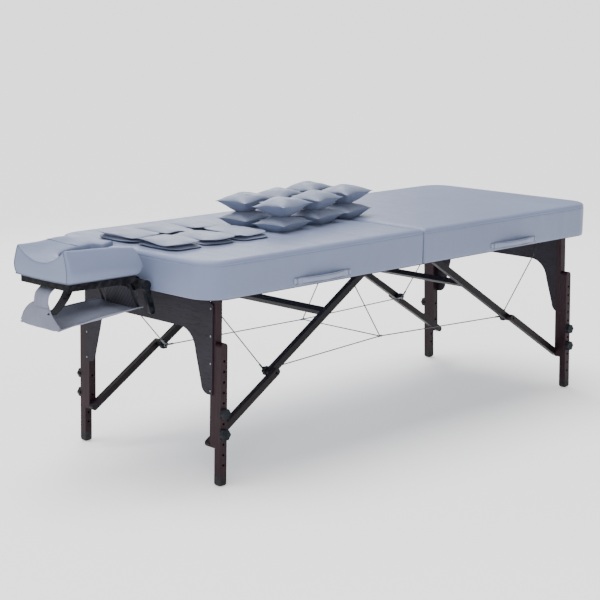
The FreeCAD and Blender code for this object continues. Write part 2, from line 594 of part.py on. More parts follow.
def cradle_plan(inset, z0, z1):
    """A tapered plan with a rounded front, open to the table through the face opening."""
    front = from_end(CRADLE_FRONT - inset)
    rear = from_end(CRADLE_REAR + inset)
    wide = CRADLE_REAR_HALF_WIDTH - inset
    narrow = CRADLE_FRONT_HALF_WIDTH - inset
    body = prism([V(front, -narrow, z0), V(rear, -wide, z0), V(rear, wide, z0), V(front, narrow, z0)],
                 V(0, 0, z1 - z0))
    upright = [e for e in body.Edges if e.BoundBox.ZLength > z1 - z0 - OVERCUT]
    body = body.makeFillet(CRADLE_CORNER - inset, upright)
    half = FACE_HOLE_HALF_WIDTH + inset
    middle = from_end(FACE_HOLE_PLACE)
    tip = middle - FACE_HOLE_LENGTH / 2 + half - inset
    low = z0 - OVERCUT
    high = z1 + OVERCUT
    hole = Part.makeCylinder(half, high - low, V(tip, 0, low))
    hole = hole.fuse(box(tip, middle + FACE_HOLE_LENGTH / 2 + inset, -half, half, low, high))
    slot = FACE_SLOT_HALF_WIDTH + inset
    hole = hole.fuse(box(middle, 0, -slot, slot, low, high))
    return body.cut(hole)


def make_cradle():
    inner_end = from_end(-ROD_DEPTH)
    for side in (-1, 1):
        y = side * OUTLET_SPACING / 2
        add("cradle_rods", Part.makeCylinder(ROD_RADIUS, inner_end - TILT_X, V(TILT_X, y, OUTLET_Z), X_AXIS))
    yoke = across(TILT_X, OUTLET_Z, -YOKE_LENGTH / 2, YOKE_LENGTH / 2, YOKE_RADIUS)
    for side in (-1, 1):
        y = side * OUTLET_SPACING / 2
        yoke = yoke.cut(Part.makeCylinder(ROD_RADIUS, 2 * YOKE_RADIUS, V(TILT_X, y, OUTLET_Z), X_AXIS))
    add("cradle_yoke", yoke)
    top = PLATFORM_BOTTOM + PLATFORM_THICKNESS
    platform = cradle_plan(PLATFORM_INSET, PLATFORM_BOTTOM, top)
    reach = from_end(CRADLE_REAR + PLATFORM_INSET + EAR_RADIUS)
    for side in (-1, 1):
        y0 = side * EAR_PLACE - EAR_WIDTH / 2
        ear = across(TILT_X, OUTLET_Z, y0, y0 + EAR_WIDTH, EAR_RADIUS)
        ear = ear.fuse(box(reach, TILT_X, y0, y0 + EAR_WIDTH, OUTLET_Z, top))
        ear = ear.cut(across(TILT_X, OUTLET_Z, y0 - OVERCUT, y0 + EAR_WIDTH + OVERCUT,
                             YOKE_RADIUS + RUNNING_FIT))
        platform = platform.fuse(ear)
    add("cradle_platform", platform.removeSplitter())
    make_lever()
    make_face_cushion()
    make_sling()


def make_lever():
    """The cam lever on the near end of the yoke, hanging down towards the table."""
    y1 = -(YOKE_LENGTH / 2 + SIDE_CLEARANCE)
    y0 = y1 - LEVER_THICKNESS
    hub = across(TILT_X, OUTLET_Z, y0, y1, YOKE_RADIUS)
    half = LEVER_WIDTH / 2
    handle = box(TILT_X - half, TILT_X + half, y0, y1, OUTLET_Z - LEVER_LENGTH, OUTLET_Z)
    tip = across(TILT_X, OUTLET_Z - LEVER_LENGTH, y0, y1, half)
    lever = hub.fuse(handle).fuse(tip).removeSplitter()
    add("cradle_lever", lever.rotate(V(TILT_X, 0, OUTLET_Z), Y_AXIS, -LEVER_LEAN))


def make_face_cushion():
    top = CUSHION_BOTTOM + CUSHION_THICKNESS
    cushion = cradle_plan(0, CUSHION_BOTTOM, top)
    rise = math.radians(BROW_DIP_RISE)
    start = V(from_end(CRADLE_FRONT + OVERCUT), 0, top + BROW_DIP_RADIUS - BROW_DIP)
    along = V(math.cos(rise), 0, math.sin(rise))
    dip = Part.makeCylinder(BROW_DIP_RADIUS, CRADLE_FRONT, start - along * BROW_DIP_RADIUS, along)
    add("face_cushion", cushion.cut(dip))


def make_sling():
    """A fabric shelf with a front lip, hung from the platform by straps front and rear."""
    t = SLING_THICKNESS
    w = SLING_HALF_WIDTH
    front = from_end(SLING_FRONT)
    rear = from_end(SLING_REAR)
    base = SLING_FRONT_Z
    shelf = prism([V(front, -w, base), V(rear, -w, SLING_REAR_Z), V(rear, -w, SLING_REAR_Z + t),
                   V(front, -w, base + t)], V(0, 2 * w, 0))
    turns = [math.pi * k / SLING_LIP_POINTS for k in range(SLING_LIP_POINTS + 1)]
    rim = [V(front, -w * math.cos(turn), base + SLING_LIP * math.sin(turn)) for turn in turns]
    add("arm_sling", shelf.fuse(prism(rim, V(t, 0, 0))).removeSplitter())
    s = STRAP_HALF_WIDTH
    d = STRAP_THICKNESS
    sewn = base + SLING_LIP - STRAP_BELOW_LIP
    hang = from_end(CRADLE_FRONT - PLATFORM_INSET - STRAP_SET_IN)
    front_strap = prism([V(front + t, -s, sewn - STRAP_SEWN), V(front + t, -s, sewn),
                         V(hang, -s, PLATFORM_BOTTOM), V(hang + d, -s, PLATFORM_BOTTOM)], V(0, 2 * s, 0))
    back = from_end(CRADLE_REAR + PLATFORM_INSET + d)
    edge = EAR_PLACE + EAR_WIDTH
    for side in (-1, 1):
        y0 = min(side * edge, side * (edge + REAR_STRAP_WIDTH))
        rear_strap = prism([V(rear - d, y0, SLING_REAR_Z + t), V(rear, y0, SLING_REAR_Z + t),
                            V(back, y0, PLATFORM_BOTTOM), V(back - d, y0, PLATFORM_BOTTOM)],
                           V(0, REAR_STRAP_WIDTH, 0))
        add("sling_straps", rear_strap)
    add("sling_straps", front_strap)


# ---- loose pads -----------------------------------------------------------------------------
def pad_block(x, y, z, size_x, size_y, thickness, edge):
    """One pad with a crowned top and bottom and a thin edge, as a loft through three outlines."""
    def ring(inset, height):
        x0, x1 = x + inset, x + size_x - inset
        y0, y1 = y - size_y + inset, y - inset
        points = [V(x0, y0, height), V(x1, y0, height), V(x1, y1, height), V(x0, y1, height)]
        return Part.makePolygon(points + points[:1])
    flat = (thickness - edge) / 2
    slope = min(flat, size_x * PAD_SLOPE_SHARE, size_y * PAD_SLOPE_SHARE)
    low = Part.makeLoft([ring(slope, z), ring(0, z + flat)], True, True)
    belt = Part.makeLoft([ring(0, z + flat), ring(0, z + flat + edge)], True, True)
    high = Part.makeLoft([ring(0, z + flat + edge), ring(slope, z + thickness)], True, True)
    return low.fuse(belt).fuse(high)


def make_mat(name, x, y, turn, size_x, size_y, thickness, edge):
    """Layers of pads in rows and columns, tied to each other by short flat links."""
    pitch_x = size_x + PAD_SEAM
    pitch_y = size_y + PAD_SEAM
    for layer in range(PAD_LAYERS):
        z = TABLE_HEIGHT + SOFT_CLEARANCE + layer * (thickness + SOFT_CLEARANCE)
        mat = None
        for column in range(PAD_COLUMNS):
            for row in range(PAD_ROWS):
                pad = pad_block(x + column * pitch_x, y - row * pitch_y, z, size_x, size_y, thickness, edge)
                mat = pad if mat is None else mat.fuse(pad)
        link_z = z + (thickness - LINK_THICKNESS) / 2
        for column in range(PAD_COLUMNS):
            for row in range(PAD_ROWS):
                mid_x = x + column * pitch_x + size_x / 2
                mid_y = y - row * pitch_y - size_y / 2
                if column < PAD_COLUMNS - 1:
                    mat = mat.fuse(box(mid_x, mid_x + pitch_x, mid_y - LINK_WIDTH / 2, mid_y + LINK_WIDTH / 2,
                                       link_z, link_z + LINK_THICKNESS))
                if row < PAD_ROWS - 1:
                    mat = mat.fuse(box(mid_x - LINK_WIDTH / 2, mid_x + LINK_WIDTH / 2, mid_y - pitch_y, mid_y,
                                       link_z, link_z + LINK_THICKNESS))
        add(name, mat.removeSplitter().rotate(V(x, y, 0), Z_AXIS, turn))


def make_loose_pads():
    make_mat("flat_pads", from_end(-FLAT_MAT_START), FLAT_MAT_SIDE, 0, FLAT_PAD_X, FLAT_PAD_Y,
             FLAT_PAD_THICKNESS, LINK_THICKNESS)
    make_mat("pillow_pads", PILLOW_GAP - FLAT_MAT_END, PILLOW_MAT_Y, PILLOW_TURN, PILLOW_X, PILLOW_Y,
             PILLOW_THICKNESS, PILLOW_EDGE)


def make_end(end):
    make_half(end)
    make_posts(end)
    make_panel(end)
    make_braces(end)
    for side_name, side in (("near", -1), ("far", 1)):
        make_extension(end, side_name, side)


make_end("foot")
foot_nodes = dict(nodes)
nodes.clear()
for node_name, solids in foot_nodes.items():
    add(node_name, *solids)
    add(node_name.replace("foot_", "head_", 1), *[mirrored(solid, X_AXIS) for solid in solids])
make_hinges()
make_cables()
make_cradle()
make_loose_pads()

os.makedirs("parts", exist_ok=True)
for node_name in sorted(nodes):
    group = []
    for shape in nodes[node_name]:
        group.extend(shape.Solids)
    moved = [solid.translated(V(HINGE_X, 0, 0)) for solid in group]
    whole = moved[0] if len(moved) == 1 else Part.makeCompound(moved)
    whole.exportStep("parts/" + node_name + ".step")
    print(node_name, len(moved), all(solid.isValid() for solid in moved))
print("origin to hinge line", HINGE_X, "tilt axis", TILT_X + HINGE_X, OUTLET_Z)
print("brace joint", MIDDLE_JOINT_X, MIDDLE_JOINT_Z, "lengths", UPPER_BRACE_LENGTH, LOWER_BRACE_LENGTH)
print("brace angle", math.degrees(BRACE_ANGLE), "leg", LEG_X, LEG_Z, "hinge", HINGE_Z)
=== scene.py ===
import json
import math
import random

import bpy
from mathutils import Matrix, Vector, noise


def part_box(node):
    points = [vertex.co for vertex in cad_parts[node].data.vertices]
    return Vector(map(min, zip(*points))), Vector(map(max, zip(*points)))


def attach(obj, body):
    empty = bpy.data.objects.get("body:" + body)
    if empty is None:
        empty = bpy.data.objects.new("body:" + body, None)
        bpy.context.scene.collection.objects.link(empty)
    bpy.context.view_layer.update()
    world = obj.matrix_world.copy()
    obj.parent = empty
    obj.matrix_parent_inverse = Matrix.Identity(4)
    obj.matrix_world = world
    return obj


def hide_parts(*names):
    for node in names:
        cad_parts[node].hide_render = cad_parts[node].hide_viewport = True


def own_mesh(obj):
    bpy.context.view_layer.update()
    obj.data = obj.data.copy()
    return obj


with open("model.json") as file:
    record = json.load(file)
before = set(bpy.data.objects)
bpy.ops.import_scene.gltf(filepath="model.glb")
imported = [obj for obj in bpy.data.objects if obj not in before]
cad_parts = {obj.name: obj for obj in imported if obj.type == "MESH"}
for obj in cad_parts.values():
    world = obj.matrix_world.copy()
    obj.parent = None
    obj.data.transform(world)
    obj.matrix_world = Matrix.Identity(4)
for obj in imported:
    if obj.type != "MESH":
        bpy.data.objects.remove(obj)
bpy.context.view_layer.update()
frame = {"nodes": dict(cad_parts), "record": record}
nodes = frame["nodes"]
MM = 0.001
random.seed(7)


# ---- places read from the frame -------------------------------------------------------------
foot_low, foot_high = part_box("foot_cover")
head_low, head_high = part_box("head_cover")
HINGE_X = (head_high.x + foot_low.x) / 2
TOP = head_high.z
UNDERSIDE = head_low.z
HALF_WIDTH = head_high.y
HALF_LENGTH = foot_high.x - HINGE_X
HALF_GAP = foot_low.x - HINGE_X
CORNER = 85 * MM
# The head half is side -1 and the foot half is side 1. Where they meet, the head half's rim is rounder.
MIDDLE_CORNERS = {-1: 9 * MM, 1: 6 * MM}
MIDDLE_ROUNDING = {-1: 3.0, 1: 1.2}
SEAM_DROP = 15 * MM
PIPING_RADIUS = 1.1 * MM
SEAM_RADIUS = 0.9 * MM


# ---- node helpers ---------------------------------------------------------------------------
class Graph:
    """Short calls for laying out shader nodes in a material or a node group."""

    def __init__(self, tree):
        self.tree = tree

    def node(self, kind, settings=None, **inputs):
        n = self.tree.nodes.new(kind)
        for key, value in (settings or {}).items():
            setattr(n, key, value)
        for key, value in inputs.items():
            self.put(n.inputs[key.replace("_", " ")], value)
        return n

    def put(self, socket, value):
        if isinstance(value, bpy.types.NodeSocket):
            self.tree.links.new(value, socket)
        else:
            socket.default_value = value

    def math(self, operation, a, b=None):
        n = self.tree.nodes.new("ShaderNodeMath")
        n.operation = operation
        self.put(n.inputs[0], a)
        if b is not None:
            self.put(n.inputs[1], b)
        return n.outputs[0]

    def ramp(self, value, *stops):
        n = self.tree.nodes.new("ShaderNodeValToRGB")
        self.put(n.inputs[0], value)
        ramp = n.color_ramp
        while len(ramp.elements) < len(stops):
            ramp.elements.new(0.5)
        for element, (place, shade) in zip(ramp.elements, stops):
            element.position = place
            element.color = (shade, shade, shade, 1) if isinstance(shade, (int, float)) else (*shade, 1)
        return n.outputs[0]

    def mix(self, factor, a, b, kind="MIX"):
        n = self.tree.nodes.new("ShaderNodeMix")
        n.data_type = "RGBA"
        n.blend_type = kind
        self.put(n.inputs[0], factor)
        self.put(n.inputs[6], a)
        self.put(n.inputs[7], b)
        return n.outputs[2]


def new_group(name, inputs, outputs):
    """An empty node group with named sockets, its input node and its output node."""
    tree = bpy.data.node_groups.new(name, "ShaderNodeTree")
    for label, kind, value in inputs:
        socket = tree.interface.new_socket(label, in_out="INPUT", socket_type="NodeSocket" + kind)
        if value is not None:
            socket.default_value = value
    for label, kind in outputs:
        tree.interface.new_socket(label, in_out="OUTPUT", socket_type="NodeSocket" + kind)
    g = Graph(tree)
    return g, g.node("NodeGroupInput"), g.node("NodeGroupOutput")


def leather_group():
    """Pebbled artificial leather: cells for the grain, soft folds, and painted shade in the grain's valleys
    that leaves the pebble tops lighter.
    """
    g, i, o = new_group("leather_grain",
                        [("Colour", "Color", (0.5, 0.5, 0.5, 1)), ("Grain Size", "Float", 700.0),
                         ("Fold Size", "Float", 9.0), ("Fold Depth", "Float", 0.25),
                         ("Stretch", "Vector", (1.0, 1.0, 1.0))],
                        [("Colour", "Color"), ("Roughness", "Float"), ("Normal", "Vector")])
    place = g.node("ShaderNodeTexCoord").outputs["Object"]
    cells = g.node("ShaderNodeTexVoronoi", {"feature": "DISTANCE_TO_EDGE"}, Vector=place,
                   Scale=i.outputs["Grain Size"])
    pebble = g.ramp(cells.outputs["Distance"], (0.0, 0.0), (0.28, 1.0))
    pulled = g.node("ShaderNodeVectorMath", {"operation": "MULTIPLY"})
    g.put(pulled.inputs[0], place)
    g.put(pulled.inputs[1], i.outputs["Stretch"])
    folds = g.node("ShaderNodeTexNoise", Vector=pulled.outputs[0], Scale=i.outputs["Fold Size"], Detail=3.0,
                   Roughness=0.5)
    broad = g.node("ShaderNodeTexNoise", Vector=place, Scale=2.2, Detail=2.0)
    shade = g.ramp(broad.outputs["Fac"], (0.3, 0.93), (0.7, 1.05))
    # Painted shade: the colour is darkened in the grain's valleys.
    painted_valley_shade = g.ramp(pebble, (0.0, 0.90), (1.0, 1.0))
    colour = g.mix(1.0, i.outputs["Colour"], shade, "MULTIPLY")
    colour = g.mix(0.7, colour, painted_valley_shade, "MULTIPLY")
    rough = g.ramp(folds.outputs["Fac"], (0.3, 0.42), (0.75, 0.56))
    fine = g.node("ShaderNodeBump", Strength=0.22, Distance=0.0004, Height=pebble)
    soft = g.node("ShaderNodeBump", Strength=i.outputs["Fold Depth"], Distance=0.006,
                  Height=folds.outputs["Fac"], Normal=fine.outputs["Normal"])
    g.put(o.inputs["Colour"], colour)
    g.put(o.inputs["Roughness"], rough)
    g.put(o.inputs["Normal"], soft.outputs["Normal"])
    return g.tree


def wood_group():
    """Stained hardwood under lacquer: long grain, pores and a slow change of tone."""
    g, i, o = new_group("stained_wood_grain",
                        [("Light", "Color", (0.1, 0.07, 0.07, 1)), ("Dark", "Color", (0.03, 0.02, 0.02, 1)),
                         ("Stretch", "Vector", (160.0, 160.0, 9.0)), ("Gloss", "Float", 0.4)],
                        [("Colour", "Color"), ("Roughness", "Float"), ("Normal", "Vector")])
    place = g.node("ShaderNodeTexCoord").outputs["Object"]
    along = g.node("ShaderNodeVectorMath", {"operation": "MULTIPLY"})
    g.put(along.inputs[0], place)
    g.put(along.inputs[1], i.outputs["Stretch"])
    grain = g.node("ShaderNodeTexNoise", Vector=along.outputs[0], Scale=1.0, Detail=6.0, Roughness=0.6,
                   Distortion=0.4)
    pores = g.node("ShaderNodeTexNoise", Vector=along.outputs[0], Scale=3.2, Detail=2.0)
    tone = g.node("ShaderNodeTexNoise", Vector=place, Scale=6.0, Detail=1.0)
    share = g.ramp(grain.outputs["Fac"], (0.32, 0.0), (0.68, 1.0))
    colour = g.mix(share, i.outputs["Dark"], i.outputs["Light"])
    colour = g.mix(0.5, colour, g.ramp(tone.outputs["Fac"], (0.3, 0.7), (0.7, 1.2)), "MULTIPLY")
    pit = g.ramp(pores.outputs["Fac"], (0.38, 0.0), (0.46, 1.0))
    colour = g.mix(0.55, colour, g.ramp(pit, (0.0, 0.45), (1.0, 1.0)), "MULTIPLY")
    rough = g.math("ADD", i.outputs["Gloss"], g.math("MULTIPLY", grain.outputs["Fac"], 0.18))
    bump = g.node("ShaderNodeBump", Strength=0.18, Distance=0.0006, Height=pit)
    g.put(o.inputs["Colour"], colour)
    g.put(o.inputs["Roughness"], rough)
    g.put(o.inputs["Normal"], bump.outputs["Normal"])
    return g.tree


def weave_group():
    """Plain weave: two crossed sets of ribs with a little fuzz, and painted shade between the threads."""
    g, i, o = new_group("woven_cloth",
                        [("Colour", "Color", (0.2, 0.2, 0.2, 1)), ("Threads", "Float", 900.0),
                         ("Depth", "Float", 0.6)],
                        [("Colour", "Color"), ("Normal", "Vector")])
    place = g.node("ShaderNodeTexCoord").outputs["Object"]
    parts = g.node("ShaderNodeSeparateXYZ", Vector=place)
    sums = [g.math("ADD", parts.outputs["X"], parts.outputs["Z"]), parts.outputs["Y"]]
    ribs = [g.math("SINE", g.math("MULTIPLY", s, i.outputs["Threads"])) for s in sums]
    cross = g.math("MULTIPLY", ribs[0], ribs[1])
    height = g.math("ADD", g.math("MULTIPLY", cross, 0.5), 0.5)
    fuzz = g.node("ShaderNodeTexNoise", Vector=place, Scale=420.0, Detail=3.0)
    broad = g.node("ShaderNodeTexNoise", Vector=place, Scale=14.0, Detail=3.0)
    # Painted shade: the low places between the threads are darker in the colour.
    colour = g.mix(1.0, i.outputs["Colour"], g.ramp(height, (0.0, 0.62), (1.0, 1.12)), "MULTIPLY")
    colour = g.mix(0.6, colour, g.ramp(broad.outputs["Fac"], (0.3, 0.8), (0.7, 1.15)), "MULTIPLY")
    mixed = g.math("ADD", height, g.math("MULTIPLY", fuzz.outputs["Fac"], 0.5))
    bump = g.node("ShaderNodeBump", Strength=i.outputs["Depth"], Distance=0.0008, Height=mixed)
    g.put(o.inputs["Colour"], colour)
    g.put(o.inputs["Normal"], bump.outputs["Normal"])
    return g.tree


def moulded_group():
    """Moulded plastic, rubber or paint: fine spark texture, scuffs and faint dust."""
    g, i, o = new_group("moulded_surface",
                        [("Colour", "Color", (0.03, 0.03, 0.03, 1)), ("Gloss", "Float", 0.4),
                         ("Texture Size", "Float", 1500.0), ("Texture Depth", "Float", 0.12)],
                        [("Colour", "Color"), ("Roughness", "Float"), ("Normal", "Vector")])
    place = g.node("ShaderNodeTexCoord").outputs["Object"]
    spark = g.node("ShaderNodeTexNoise", Vector=place, Scale=i.outputs["Texture Size"], Detail=2.0)
    scuff = g.node("ShaderNodeTexNoise", Vector=place, Scale=38.0, Detail=5.0, Roughness=0.7)
    mark = g.ramp(scuff.outputs["Fac"], (0.45, 0.0), (0.72, 1.0))
    lighter = g.mix(0.12, i.outputs["Colour"], (0.5, 0.5, 0.5, 1))
    colour = g.mix(g.math("MULTIPLY", mark, 0.5), i.outputs["Colour"], lighter)
    rough = g.math("ADD", i.outputs["Gloss"], g.math("MULTIPLY", mark, 0.2))
    bump = g.node("ShaderNodeBump", Strength=i.outputs["Texture Depth"], Distance=0.0003,
                  Height=spark.outputs["Fac"])
    g.put(o.inputs["Colour"], colour)
    g.put(o.inputs["Roughness"], rough)
    g.put(o.inputs["Normal"], bump.outputs["Normal"])
    return g.tree


def rope_group():
    """Twisted steel rope: slanted strands along a thin tube, with painted shade in the grooves between them.
    """
    g, i, o = new_group("steel_rope",
                        [("Colour", "Color", (0.4, 0.4, 0.42, 1)), ("Strands", "Float", 1400.0)],
                        [("Colour", "Color"), ("Normal", "Vector")])
    place = g.node("ShaderNodeTexCoord").outputs["Object"]
    parts = g.node("ShaderNodeSeparateXYZ", Vector=place)
    along = g.math("ADD", parts.outputs["X"], g.math("MULTIPLY", parts.outputs["Z"], 1.7))
    twist = g.math("SINE", g.math("MULTIPLY", g.math("ADD", along, parts.outputs["Y"]), i.outputs["Strands"]))
    height = g.math("ADD", g.math("MULTIPLY", twist, 0.5), 0.5)
    # Painted shade: the grooves between the strands are darker in the colour.
    colour = g.mix(1.0, i.outputs["Colour"], g.ramp(height, (0.0, 0.45), (1.0, 1.1)), "MULTIPLY")
    bump = g.node("ShaderNodeBump", Strength=0.7, Distance=0.0006, Height=height)
    g.put(o.inputs["Colour"], colour)
    g.put(o.inputs["Normal"], bump.outputs["Normal"])
    return g.tree


LEATHER, WOOD, WEAVE, MOULDED, ROPE = (leather_group(), wood_group(), weave_group(), moulded_group(),
                                       rope_group())


def material(name, group, inputs, shader=None):
    """A Principled material fed by one of the groups, with fixed values on its own sockets."""
    mat = bpy.data.materials.new(name)
    mat.use_nodes = True
    g = Graph(mat.node_tree)
    surface = mat.node_tree.nodes["Principled BSDF"]
    n = g.node("ShaderNodeGroup", {"node_tree": group})
    for key, value in inputs.items():
        g.put(n.inputs[key], value)
    g.put(surface.inputs["Base Color"], n.outputs["Colour"])
    g.put(surface.inputs["Normal"], n.outputs["Normal"])
    if "Roughness" in n.outputs:
        g.put(surface.inputs["Roughness"], n.outputs["Roughness"])
    for key, value in (shader or {}).items():
        surface.inputs[key].default_value = value
    return mat


def rgb(r, g, b):
    return (r, g, b, 1.0)


FINISHES = {
    "upholstery": (LEATHER, {"Colour": rgb(0.182, 0.222, 0.35), "Stretch": (7.0, 1.0, 1.6),
                             "Fold Size": 4.0, "Fold Depth": 0.35}, {"Sheen Weight": 0.1}),
    # The handles are the cover's leather; this lighter copy of it is painted light.
    "handle_leather_painted_light": (LEATHER, {"Colour": rgb(0.26, 0.30, 0.43)}, {"Sheen Weight": 0.1}),
    "pad_fabric": (LEATHER, {"Colour": rgb(0.195, 0.23, 0.335), "Fold Size": 22.0, "Fold Depth": 0.4},
                   {"Sheen Weight": 0.15}),
    # The piping, seams and stitches are the cover's leather made darker: painted shade along the seams and
    # the handle edges.
    "piping": (LEATHER, {"Colour": rgb(0.13, 0.155, 0.235)}),
    "foam": (WEAVE, {"Colour": rgb(0.8, 0.77, 0.68), "Threads": 500.0}, {"Roughness": 0.95}),
    "plywood": (WOOD, {"Light": rgb(0.004, 0.005, 0.008), "Dark": rgb(0.002, 0.002, 0.004),
                       "Stretch": (9.0, 160.0, 160.0)}, {"Specular IOR Level": 0.08}),
    "stained_wood": (WOOD, {"Light": rgb(0.028, 0.009, 0.015), "Dark": rgb(0.010, 0.004, 0.007),
                            "Gloss": 0.36},
                     {"Coat Weight": 0.02, "Coat Roughness": 0.3, "Specular IOR Level": 0.15}),
    # The two brace woods are one wood: the lower braces get the lighter copy, painted light, and the other
    # braces keep the darker one.
    "brace_wood": (WOOD, {"Light": rgb(0.010, 0.008, 0.012), "Dark": rgb(0.004, 0.003, 0.005),
                          "Stretch": (30.0, 160.0, 30.0), "Gloss": 0.36}, {"Specular IOR Level": 0.15}),
    "lower_brace_wood_painted_light": (WOOD, {"Light": rgb(0.018, 0.012, 0.015), "Dark": rgb(0.009, 0.006, 0.008),
                                "Stretch": (30.0, 160.0, 30.0), "Gloss": 0.36}, {"Specular IOR Level": 0.15}),
    "panel": (WOOD, {"Light": rgb(0.030, 0.028, 0.036), "Dark": rgb(0.023, 0.021, 0.028),
                     "Stretch": (120.0, 9.0, 120.0), "Gloss": 0.5}, {"Specular IOR Level": 0.12}),
    "webbing": (WEAVE, {"Colour": rgb(0.02, 0.02, 0.026)}, {"Roughness": 0.75, "Specular IOR Level": 0.2}),
    "sling_fabric": (WEAVE, {"Colour": rgb(0.19, 0.205, 0.29), "Threads": 1300.0},
                     {"Roughness": 0.8, "Sheen Weight": 0.15}),
    "mesh_fabric": (WEAVE, {"Colour": rgb(0.09, 0.09, 0.115), "Threads": 420.0, "Depth": 1.0},
                    {"Roughness": 0.8}),
    "black_steel": (MOULDED, {"Colour": rgb(0.008, 0.009, 0.013), "Gloss": 0.35},
                    {"Specular IOR Level": 0.15}),
    "steel": (MOULDED, {"Colour": rgb(0.20, 0.20, 0.22), "Gloss": 0.35}, {"Metallic": 1.0}),
    "cable_steel": (ROPE, {"Colour": rgb(0.13, 0.13, 0.14)}, {"Metallic": 0.6, "Roughness": 0.5}),
    "rubber": (MOULDED, {"Colour": rgb(0.007, 0.006, 0.008), "Gloss": 0.6, "Texture Depth": 0.3},
               {"Specular IOR Level": 0.25}),
    "knob_plastic": (MOULDED, {"Colour": rgb(0.005, 0.008, 0.012), "Gloss": 0.45},
                     {"Specular IOR Level": 0.1}),
    "lever_plastic": (MOULDED, {"Colour": rgb(0.003, 0.005, 0.009), "Gloss": 0.45},
                      {"Specular IOR Level": 0.1}),
    "cradle_plastic": (MOULDED, {"Colour": rgb(0.003, 0.003, 0.006), "Gloss": 0.5},
                       {"Specular IOR Level": 0.08}),
    "cradle_metal": (MOULDED, {"Colour": rgb(0.7, 0.7, 0.72), "Gloss": 0.25}, {"Metallic": 1.0}),
}
MATERIALS = {name: material(name, *finish) for name, finish in FINISHES.items()}
PIPING_PAINTED_SHADE = MATERIALS["piping"]


def dress_nodes():
    """Each carried-over node gets its slot's material; the lower braces get a lighter copy of the brace wood,
    painted light.
    """
    for part in frame["record"]["subparts"]:
        node = nodes[part["node"]]
        node.data.materials.clear()
        look = "lower_brace_wood_painted_light" if part["node"].endswith("_lower_braces") else part["material_slot"]
        node.data.materials.append(MATERIALS[look])


# ---- mesh helpers ---------------------------------------------------------------------------
def make_object(name, points, faces, mat, body):
    """A smooth-shaded mesh object with its material, riding on a body."""
    mesh = bpy.data.meshes.new(name)
    mesh.from_pydata([tuple(p) for p in points], [], faces)
    mesh.update()
    obj = bpy.data.objects.new(name, mesh)
    bpy.context.scene.collection.objects.link(obj)
    mesh.materials.append(mat)
    for polygon in mesh.polygons:
        polygon.use_smooth = True
    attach(obj, body)
    return obj


def modify(obj, kind, **settings):
    modifier = obj.modifiers.new(kind.lower(), kind)
    for key, value in settings.items():
        setattr(modifier, key, value)


def skin_rings(rings, closed=False):
    """Points and faces of a surface through rings of equal length, capped unless the rings close up."""
    count = len(rings[0])
    points = [p for ring in rings for p in ring]
    faces = []
    pairs = len(rings) if closed else len(rings) - 1
    for r in range(pairs):
        a = r * count
        b = (r + 1) % len(rings) * count
        for i in range(count):
            j = (i + 1) % count
            faces.append((a + i, a + j, b + j, b + i))
    if not closed:
        faces.append(tuple(reversed(range(count))))
        faces.append(tuple(range(len(points) - count, len(points))))
    return points, faces


def tube(name, path, radius, mat, body, sides=10, closed=False):
    """A round bar or rope along a path of points."""
    rings = []
    turns = [2 * math.pi * k / sides for k in range(sides)]
    up = Vector((0.01, 0.02, 1)).normalized()
    for i, p in enumerate(path):
        before = path[i - 1] if i or closed else path[0]
        after = path[(i + 1) % len(path)] if i < len(path) - 1 or closed else path[-1]
        along = (Vector(after) - Vector(before)).normalized()
        side = along.cross(up)
        side = side.normalized() if side.length > 0.05 else along.cross(Vector((0, 1, 0))).normalized()
        rise = side.cross(along)
        rings.append([Vector(p) + radius * (math.cos(t) * side + math.sin(t) * rise) for t in turns])
    points, faces = skin_rings(rings, closed)
    return make_object(name, points, faces, mat, body)


def strap(name, path, across, thickness, mat, body):
    """A flat band along a path; across is its full width as a vector."""
    rings = []
    half = Vector(across) / 2
    for i, p in enumerate(path):
        before = Vector(path[max(i - 1, 0)])
        after = Vector(path[min(i + 1, len(path) - 1)])
        normal = (after - before).cross(half).normalized() * thickness / 2
        p = Vector(p)
        edge = half * 0.94
        rings.append([p - half, p - edge + normal, p + edge + normal, p + half, p + edge - normal,
                      p - edge - normal])
    points, faces = skin_rings(rings)
    obj = make_object(name, points, faces, mat, body)
    modify(obj, "SUBSURF", levels=1, render_levels=1)
    return obj


def smooth_path(points, steps=6):
    """A Catmull-Rom line through a few points."""
    points = [Vector(p) for p in points]
    path = []
    for i in range(len(points) - 1):
        a = points[max(i - 1, 0)]
        b, c = points[i], points[i + 1]
        d = points[min(i + 2, len(points) - 1)]
        for k in range(steps):
            t = k / steps
            path.append(0.5 * (2 * b + (c - a) * t + (2 * a - 5 * b + 4 * c - d) * t ** 2
                               + (3 * b - a - 3 * c + d) * t ** 3))
    path.append(points[-1])
    return path


